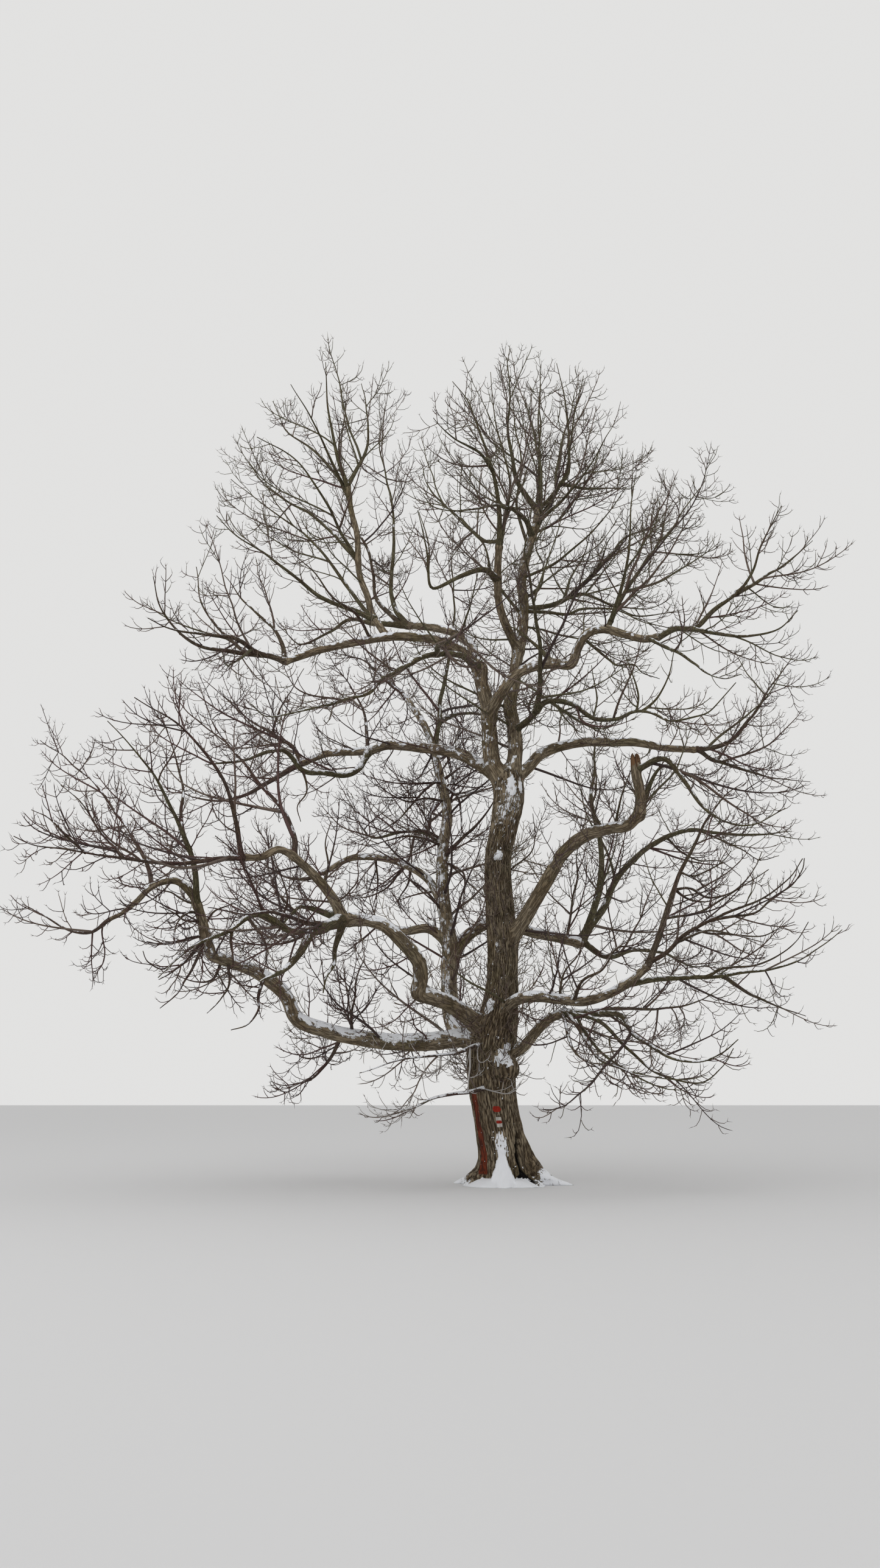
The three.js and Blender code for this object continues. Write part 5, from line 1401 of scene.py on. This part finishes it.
forkRule = {                                           # long branches beside each limb
    **twigRule, "firstAt": 0.08, "spacing": 50, "kept": 0.55, "share": 0.76, "least": 22, "most": 210,
    "unevenness": 0.3, "lean": 36, "leanSpread": 10, "sag": -0.07, "sweep": 0.23, "wander": 0.2, "steps": 8,
    "slenderness": 0.0115, "leastRadius": 1.0, "clearOfLimbs": 2, "clearOfMasses": -40, "checked": [2, 5, 8],
}

branchRule = {                                         # between them, on limbs and forks
    **twigRule, "firstAt": 0.12, "spacing": 42, "kept": 0.8, "share": 0.32, "least": 18, "most": 100,
    "unevenness": 0.6, "lean": 44, "leanSpread": 16, "sag": -0.12, "sweep": 0.44, "wander": 0.2, "steps": 7,
    "slenderness": 0.0125, "leastRadius": 0.75, "clearOfLimbs": 1, "clearOfMasses": -40,
    "checked": [1, 4, 7], "sided": 3, "parts": 1,
}

boughRule = {                                          # long branches straight from the boughs
    **forkRule, "firstAt": 0.14, "spacing": 32, "kept": 0.66, "least": 60, "most": 190, "lean": 62,
    "share": 0.25, "unevenness": 0.6, "sag": -0.08, "sweep": 0.26, "startsAt": 0.7, "clearOfLimbs": 0.5,
    "clearOfMasses": -500, "checked": [1, 4, 8],
}

sprigRule = {                                          # side shoots of every branch
    **twigRule, "firstAt": 0.14, "spacing": 15.5, "kept": 0.8, "share": 0.26, "least": 10, "most": 34,
    "unevenness": 0.5, "lean": 46, "leanSpread": 14, "sag": -0.16, "sweep": 0.62, "wander": 0.12, "steps": 4,
    "slenderness": 0.016, "leastRadius": 0.56, "clearOfLimbs": 0.3, "clearOfMasses": -500,
    "checked": [2, 4], "sided": 3, "parts": 1,
}

tipRule = {                                            # the pair beside every tip
    **sprigRule, "kept": 0.85, "least": 5.5, "most": 9, "lean": 34, "leanSpread": 12, "steps": 1,
    "leastRadius": 0.45,
}

shootRule = {                                          # thin shoots from the trunk and the old boughs
    **sprigRule, "least": 15, "most": 68, "lean": 54, "leanSpread": 30, "sag": -0.04, "sweep": 0.26,
    "wander": 0.34, "steps": 8, "slenderness": 0.010, "leastRadius": 0.5, "startsAt": 0.92,
    "bareBelow": 20, "shortness": 1.6,
}

tipThickness = 0.4                                     # radius at a twig's tip, in centimetres
mostOfParent = {"limb": 0.8, "twig": 0.85}             # a twig's radius is at most this share of its parent's
bareEnd = 0.08                                         # how much of a limb's end is bare
firstGap = 0.4                                         # how far up a twig its first pair is, in spacings
turnUnevenness = 0.4                                   # how far pairs stray from a quarter turn, in radians
atTip = 0.93                                           # how far along a twig its last pair is
tipPair = 5                                            # the number of every pair at a tip
askew = {"twig": (0.13, 0.21, 1.0), "tube": (0.31, 0.17, 0.93)}        # directions that twigs seldom take
boxRoom = 0.06                                         # how far twigs may reach past the solids' box
twigsAtOnce = 700                                      # measured together
stretches = {"masses": 8, "boughs": 14, "trunk": 1}    # rings in each stretch that twigs keep clear of
seedSteps = {                                          # set the seeds of each kind of twig apart
    "forks": 800, "branches": 900, "onForks": 60, "sprigs": 40, "tips": 300, "sprigTips": 310, "boughs": 5,
    "shoots": 3000,
}


class Sprays:                                          # rows of twigs grown together
    def __init__(self, points, radii, seeds, mass):
        self.points, self.radii, self.seeds, self.mass = points, radii, seeds, mass
        self.lengths = np.sum(np.linalg.norm(np.diff(points, axis=1), axis=2), axis=1)

    def kept(self, mask):
        return Sprays(self.points[mask], self.radii[mask], self.seeds[mask], self.mass[mask])


def growTwigs(starts, tangents, sides, turns, lengths, thick, dice, rule):
    across = np.cross(tangents, sides)
    lean = np.radians(rule["lean"] + rule["leanSpread"] * dice.spread())[:, None]
    around = sides * np.cos(turns)[:, None] + across * np.sin(turns)[:, None]
    heading = tangents * np.cos(lean) + around * np.sin(lean)
    rows = [starts + around * (rule["startsAt"] * thick)[:, None]]
    for step in range(rule["steps"]):
        late = step / max(1, rule["steps"] - 1)
        heading[:, 2] += rule["sag"] + (rule["sweep"] - rule["sag"]) * late
        heading[:, 0] += rule["wander"] * dice.spread()
        heading[:, 1] += rule["wander"] * dice.spread()
        heading = unit(heading)
        rows.append(rows[-1] + heading * (lengths / rule["steps"])[:, None])
    return np.stack(rows, axis=1)


def taper(points, rootRadii, tipRadius=tipThickness * cm):
    share = np.linspace(0, 1, points.shape[1])
    return tipRadius + (rootRadii[:, None] - tipRadius) * (1 - share)


def turnsOf(first, pair, half, dice):                  # opposite twigs, each pair a quarter turn on
    return first + pair * math.pi / 2 + half * math.pi + turnUnevenness * dice.spread()


def lengthsOf(rule, beyond, dice):                     # by the length of the wood beyond each twig
    evenness = 1 + rule["unevenness"] * dice.spread()
    return np.minimum(rule["most"] * cm, (rule["least"] * cm + rule["share"] * beyond) * evenness)


def radiiOf(rule, lengths):
    return np.maximum(rule["leastRadius"] * cm, lengths * rule["slenderness"])


def twigsOnLimb(limb, seed, rule, mass):
    distances = np.arange(limb.length * rule["firstAt"], limb.length - bareEnd, rule["spacing"] * cm)
    pairs = np.repeat(np.arange(len(distances)), 2)
    halves = np.tile([0, 1], len(distances))
    seeds = seedFrom(seed, pairs * 2 + halves)
    dice = Dice(seeds)
    turns = turnsOf(Dice(seed).roll()[0] * math.pi, pairs, halves, dice)
    reach = distances[pairs]
    lengths = lengthsOf(rule, limb.length - reach, dice)
    starts, tangents, sides, thick = limb.at(reach)
    points = growTwigs(starts, tangents, sides, turns, lengths, thick, dice, rule)
    radii = np.minimum(radiiOf(rule, lengths), mostOfParent["limb"] * thick)
    rise = (points[:, 1, 2] - points[:, 0, 2]) * rule["steps"] / lengths
    grows = (dice.roll() < rule["kept"]) & (rise > rule["steepest"])
    return Sprays(points, taper(points, radii), seeds, np.full(len(points), mass)).kept(grows)


def twigsOnTwigs(parents, rule, offset):
    room = parents.lengths * (1 - rule["firstAt"])
    pairs = np.floor(room / (rule["spacing"] * cm)).astype(int)
    owner = np.repeat(np.arange(len(pairs)), pairs * 2)
    first = np.cumsum(pairs * 2) - pairs * 2
    order = np.arange(len(owner)) - first[owner]
    pair, half = order // 2, order % 2
    reach = parents.lengths[owner] * rule["firstAt"] + (pair + firstGap) * rule["spacing"] * cm
    return sideTwigs(parents, owner, pair, half, reach, rule, offset)


def pairAtTips(parents, rule, offset):
    owner = np.repeat(np.arange(len(parents.points)), 2)
    half = np.tile([0, 1], len(parents.points))
    return sideTwigs(parents, owner, 0 * half + tipPair, half, parents.lengths[owner] * atTip, rule, offset)


def sideTwigs(parents, owner, pair, half, reach, rule, offset):
    steps = parents.points.shape[1] - 1
    spot = np.clip(reach / parents.lengths[owner] * steps, 0, steps - 1e-6)
    index = spot.astype(int)
    start, end = parents.points[owner, index], parents.points[owner, index + 1]
    tangent = unit(end - start)
    side = unit(np.cross(tangent, np.array(askew["twig"])))
    seeds = seedFrom(parents.seeds[owner], offset + pair * 2 + half)
    dice = Dice(seeds)
    turns = turnsOf(Dice(parents.seeds[owner]).roll() * math.pi, pair, half, dice)
    lengths = lengthsOf(rule, parents.lengths[owner] - reach, dice)
    thick = parents.radii[owner, index]
    places = start + (end - start) * (spot - index)[:, None]
    points = growTwigs(places, tangent, side, turns, lengths, thick, dice, rule)
    radii = np.minimum(radiiOf(rule, lengths), mostOfParent["twig"] * thick)
    return Sprays(points, taper(points, radii), seeds, parents.mass[owner]).kept(dice.roll() < rule["kept"])


def tintsOf(seeds, shares):                            # each spray has one colour, dealt out by these shares
    deal = Dice(seeds)
    deal.roll()
    return np.minimum(np.searchsorted(np.cumsum(shares), deal.roll()), len(shares) - 1)


def runsOf(rows, every):                               # starts, runs, radii and owners of coarse stretches
    starts, runs, thick, owners = [], [], [], []
    for owner, limb in rows:
        picked = np.unique(np.append(np.arange(0, len(limb.points), every), len(limb.points) - 1))
        starts.append(limb.points[picked[:-1]])
        runs.append(np.diff(limb.points[picked], axis=0))
        thick.append(limb.radii[picked[:-1]])
        owners.append(np.full(len(picked) - 1, owner))
    return np.concatenate(starts), np.concatenate(runs), np.concatenate(thick), np.concatenate(owners)


massNumber = {name: number for number, (name, _, _) in enumerate(masses)}
ordered = sorted((massNumber[name], i) for i, (name, _, _) in enumerate(massLimbs))
massRuns = runsOf([(number, massLimbs[i][2]) for number, i in ordered], stretches["masses"])
boughRuns = runsOf([(0, limb) for name, limb in limbs.items() if name != "trunk"], stretches["boughs"])
trunkRuns = runsOf([(0, limbs["trunk"])], stretches["trunk"])
massFirst = np.searchsorted(massRuns[3], np.arange(len(masses)))


def apartFrom(points, runs):                           # distance from each point to each stretch
    starts, steps, _, _ = runs
    offset = points[:, None] - starts
    shares = np.clip(np.einsum("psk,sk->ps", offset, steps) / np.sum(steps * steps, axis=1), 0, 1)
    return np.linalg.norm(offset - steps * shares[..., None], axis=2)


def keepsItsSpace(sprays, rule):                       # clear of boughs and the ground, nearest its own mass
    keep, picked = np.ones(len(sprays.points), dtype=bool), rule["checked"]
    low, high = np.array(cadBox[0]) - boxRoom, np.array(cadBox[1]) + boxRoom
    for rows in np.array_split(np.arange(len(keep)), max(1, len(keep) // twigsAtOnce)):
        points = sprays.points[rows][:, picked].reshape(-1, 3)
        fine = (points[:, 2] > rule["bareBelow"] * cm) & np.all((points > low) & (points < high), axis=1)
        for runs in (boughRuns, trunkRuns):
            gap = np.min(apartFrom(points, runs) - runs[2], axis=1)
            fine &= gap > rule["clearOfLimbs"] * cm
        nearest = np.minimum.reduceat(apartFrom(points, massRuns), massFirst, axis=1)
        each, owners = np.arange(len(points)), np.repeat(sprays.mass[rows], len(picked))
        own = nearest[each, owners]
        nearest[each, owners] = np.inf
        fine &= nearest.min(axis=1) > own + rule["clearOfMasses"] * cm
        keep[rows] = fine.reshape(len(rows), len(picked)).all(axis=1)
    return sprays.kept(keep)


def smoothed(sprays, parts):                           # more steps along the same courses
    points, radii = sprays.points, sprays.radii
    before = np.concatenate([2 * points[:, :1] - points[:, 1:2], points[:, :-2]], axis=1)
    after = np.concatenate([points[:, 2:], 2 * points[:, -1:] - points[:, -2:-1]], axis=1)
    start, end = points[:, :-1], points[:, 1:]
    rows = [bentBetween(before, start, end, after, part) for part in np.arange(parts) / parts]
    finer = np.stack(rows, axis=2).reshape(len(points), -1, 3)
    finer = np.concatenate([finer, points[:, -1:]], axis=1)
    spots = np.linspace(0, radii.shape[1] - 1, finer.shape[1])
    low = np.minimum(spots.astype(int), radii.shape[1] - 2)
    finerRadii = radii[:, low] + (radii[:, low + 1] - radii[:, low]) * (spots - low)
    return Sprays(finer, finerRadii, sprays.seeds, sprays.mass)


def twigTubes(shape, sprays, rule, shares):            # every twig a closed tube with a pointed tip
    if not len(sprays.points):
        return
    if rule["parts"] > 1:
        sprays = smoothed(sprays, rule["parts"])
    points, radii = sprays.points, sprays.radii
    count, places = points.shape[:2]
    tangents = np.empty_like(points)
    tangents[:, 1:-1] = points[:, 2:] - points[:, :-2]
    tangents[:, 0], tangents[:, -1] = points[:, 1] - points[:, 0], points[:, -1] - points[:, -2]
    tangents = unit(tangents)
    side = unit(np.cross(tangents[:, 0], np.array(askew["tube"])))[:, None]
    sides = unit(side - tangents * np.sum(side * tangents, axis=2, keepdims=True))
    across = np.cross(tangents, sides)
    rings = places - 1
    angles = anglesAround(rule["sided"])[:, None]
    wheel = sides[:, :rings, None] * np.cos(angles) + across[:, :rings, None] * np.sin(angles)
    ringed = points[:, :rings, None] + wheel * radii[:, :rings, None, None]
    vertices = np.concatenate([ringed.reshape(count, -1, 3), points[:, :1], points[:, -1:]], axis=1)
    quads, fans = ringFaces(rings, rule["sided"])
    first = (np.arange(count) * vertices.shape[1])[:, None, None]
    tints = tintsOf(sprays.seeds, shares)
    tints = np.repeat(tints, len(quads)), np.repeat(tints, len(fans))
    shape.add(vertices.reshape(-1, 3), quads + first, fans + first, tints)


regions = {                                            # masses of a piece, boughs whose twigs it has, tint
    "crown": (["crown_top_left", "crown_top", "crown_top_right", "crown_left_arm", "crown_left_bend",
               "crown_right_low"],
              {"leader": "crown_top", "centre_left_limb": "crown_top_left"}, "olive"),
    "fan": (["fan_top", "fan_left_high", "fan_left_mid", "fan_left_low"],
            {"fan_limb": "fan_top", "upper_left_bough": "fan_left_low"}, "olive"),
    "fan_side": (["fan_right", "high_left_tip", "crossing_limb"],
                 {"high_left_bough": "high_left_tip"}, "brown"),
    "left": (["middle_left_tip", "middle_left_spur", "back_stem_tip", "back_upright", "back_stem_left"],
             {"middle_left_bough": "middle_left_tip", "back_stem": "back_upright"}, "maroon"),
    "low_left": (["back_left_tip", "middle_arch_tip", "long_left_tip", "long_left_inner", "left_upright",
                  "arch_upright", "arch_tip"],
                 {"middle_left_arch": "middle_arch_tip", "back_left_bough": "back_left_tip",
                  "long_left_bough": "long_left_inner", "low_left_arch": "arch_tip"}, "maroon"),
    "lowest_left": (["elbow_drop", "low_left_under", "front_low"],
                    {"elbow_bough": "elbow_drop", "low_left_bough": "low_left_under"}, "maroon"),
    "right": (["high_right_tip", "high_right_fall", "high_right_upright", "upper_right"],
              {"high_right_bough": "high_right_upright"}, "olive"),
    "right_side": (["fork_right_tip", "stub_branch", "right_back"],
                   {"fork_right_bough": "fork_right_tip", "arch_bough": "stub_branch",
                    "crossing_bough": "right_back"}, "brown"),
    "low_right": (["low_right_fan", "low_right_tip", "lowest_right"],
                  {"low_right_bough": "low_right_fan", "lowest_right_bough": "lowest_right"}, "brown"),
}

tintShares = {                                         # of the twig finishes in their order
    "olive": [0.10, 0.34, 0.20, 0.08, 0, 0.28],
    "brown": [0.30, 0.32, 0.14, 0.16, 0, 0.08],
    "maroon": [0.52, 0.18, 0.10, 0.20, 0, 0],
    "frosted": [0.10, 0.20, 0.35, 0, 0.35, 0],
    "shoots": [0.10, 0.16, 0.30, 0.04, 0, 0.08, 0.32],
}


fullness = {                                           # how fully twigs grow on a mass or a bough; usually 1
    "crown_top": 0.58, "crown_top_left": 0.58, "crown_top_right": 0.6, "crown_right_low": 0.44,
    "crown_left_bend": 0.42, "crown_left_arm": 0.6, "fan_top": 0.55, "fan_left_high": 0.5,
    "fan_left_mid": 0.6, "fan_left_low": 0.6, "fan_right": 0.5, "high_left_tip": 0.26, "left_upright": 0.7,
    "arch_upright": 0.7, "long_left_tip": 0.75, "long_left_inner": 0.7, "arch_tip": 0.8, "elbow_drop": 0.2,
    "low_right_fan": 0.3, "low_right_tip": 0.34, "lowest_right": 0.5, "front_low": 0.4,
    "high_right_tip": 0.8, "high_right_upright": 0.65, "crossing_limb": 0.55, "upper_right": 0.5,
    "high_right_fall": 0.7, "right_back": 0.66, "middle_left_tip": 0.26, "back_upright": 0.66,
    "back_left_tip": 0.98, "middle_arch_tip": 1.15, "low_left_under": 0.8, "high_left_bough": 0.45,
    "upper_left_bough": 0.4, "fan_limb": 0.5, "crossing_bough": 0.8, "elbow_bough": 0.8,
    "low_left_bough": 0.8,
}


def thinned(rule, name):
    return {**rule, "kept": rule["kept"] * fullness.get(name, 1)}


def nextSeed(seed, number):
    return int(seedFrom(seed, number)[0])


def clearOnLimb(limb, seed, rule, mass):
    return keepsItsSpace(twigsOnLimb(limb, seed, rule, mass), rule)


def clearOnTwigs(parents, rule, offset):
    return keepsItsSpace(twigsOnTwigs(parents, rule, offset), rule)


def growMass(name):                                    # its twigs, coarse to fine, as (rule, twigs, mass)
    grown, number = [], massNumber[name]
    forkKind, branchKind = thinned(forkRule, name), thinned(branchRule, name)
    for _, limbNumber, limb in [row for row in massLimbs if row[0] == name]:
        seed = nextSeed(number + 1, limbNumber)
        pairs = clearOnLimb(limb, seed, twigRule, number)
        forks = clearOnLimb(limb, nextSeed(seed, seedSteps["forks"]), forkKind, number)
        between = clearOnLimb(limb, nextSeed(seed, seedSteps["branches"]), branchKind, number)
        fromForks = clearOnTwigs(forks, branchRule, seedSteps["onForks"])
        kinds = (twigRule, pairs), (forkRule, forks), (branchRule, between), (branchRule, fromForks)
        grown += [(rule, sprays, name) for rule, sprays in kinds]
    return grown


def growOnBough(boughName, name):
    seed = nextSeed(sum(map(ord, boughName)), seedSteps["boughs"])
    forks = clearOnLimb(limbs[boughName], seed, thinned(boughRule, boughName), massNumber[name])
    fromForks = clearOnTwigs(forks, branchRule, seedSteps["onForks"])
    return [(boughRule, forks, name), (branchRule, fromForks, name)]


made = {"limbs": 0, "twigs": 0, "count": 0}
limbSeed, limbSeedStep = bark["limbSeeds"]
for region, (names, boughNames, tint) in regions.items():
    wood, shape = Shape(), Shape()
    for i, (name, _, limb) in enumerate(massLimbs):
        if name in names:
            thick = int(limb.radii[0] > growth["thickFrom"] * cm)
            barkTube(wood, limb, bark["limbSide"], limbSeed + limbSeedStep * i, tint=thick)
    grown = sum([growMass(name) for name in names], [])
    grown += sum([growOnBough(boughName, name) for boughName, name in boughNames.items()], [])
    for rule, first, name in grown:
        shares = tintShares["frosted" if name == "front_low" else tint]
        second = clearOnTwigs(first, sprigRule, seedSteps["sprigs"])
        tips = pairAtTips(first, tipRule, seedSteps["tips"])
        ends = pairAtTips(second, tipRule, seedSteps["sprigTips"])
        for kind, sprays in ((rule, first), (sprigRule, second), (tipRule, tips), (tipRule, ends)):
            twigTubes(shape, sprays, kind, shares)
            made["count"] += len(sprays.points)
    made["limbs"] += wood.place(f"{region}_limbs", [limbFinishes[tint], thickFinish], names, "twigs")
    twigTotal = shape.place(f"{region}_twigs", twigFinishes, names, "twigs")
    made["twigs"] += twigTotal
    print(region, "has", twigTotal, "triangles of twigs")
print("twigs:", made)


shoots = {                                             # limb: from, to, how many, from and to bearing
    "trunk": (1.35, 4.6, 210, -100, 110),
    "back_stem": (0.4, 3.4, 70, -180, 180),
    "low_left_bough": (0.3, 4.2, 46, -180, 180),
    "elbow_bough": (0.3, 3.4, 40, -180, 180),
    "lowest_right_bough": (0.2, 1.4, 26, -180, 180),
    "low_right_bough": (0.3, 2.6, 34, -180, 180),
    "arch_bough": (0.5, 3.2, 34, -180, 180),
    "middle_left_bough": (0.6, 3.6, 30, -180, 180),
    "high_left_bough": (0.3, 3.2, 26, -180, 180),
    "crossing_bough": (0.2, 2.6, 26, -180, 180),
    "leader": (0.3, 3.8, 96, -180, 180),
    "left_stem": (0.4, 1.6, 26, -180, 180),
    "centre_left_limb": (0.2, 1.2, 22, -180, 180),
}


def addShoots():                                       # thin shoots straight from old wood
    shape, rule = Shape(), shootRule
    least, most = rule["least"], rule["most"]
    for order, (name, (start, end, count, low, high)) in enumerate(shoots.items()):
        seeds = seedFrom(seedSteps["shoots"] + order, np.arange(count))
        dice = Dice(seeds)
        starts, tangents, sides, thick = limbs[name].at(start + (end - start) * dice.roll())
        turns = np.radians(low + (high - low) * dice.roll())
        if name == "trunk":
            facing = np.stack([np.sin(turns), -np.cos(turns), 0 * turns], axis=1)
            sides = unit(facing - tangents * np.sum(facing * tangents, axis=1, keepdims=True))
            turns = 0 * turns
        lengths = least * cm + (most - least) * cm * dice.roll() ** rule["shortness"]
        points = growTwigs(starts, tangents, sides, turns, lengths, thick, dice, rule)
        first = Sprays(points, taper(points, radiiOf(rule, lengths)), seeds, np.zeros(count, dtype=int))
        first = first.kept(np.all(first.points[:, :, 2] > rule["bareBelow"] * cm, axis=1))
        second = twigsOnTwigs(first, sprigRule, seedSteps["sprigs"])
        tips = pairAtTips(first, tipRule, seedSteps["tips"])
        for kind, sprays in ((rule, first), (sprigRule, second), (tipRule, tips)):
            twigTubes(shape, sprays, kind, tintShares["shoots"])
    return shape.place("shoots", twigFinishes, [], "twigs")


print("shoots:", addShoots(), "triangles")
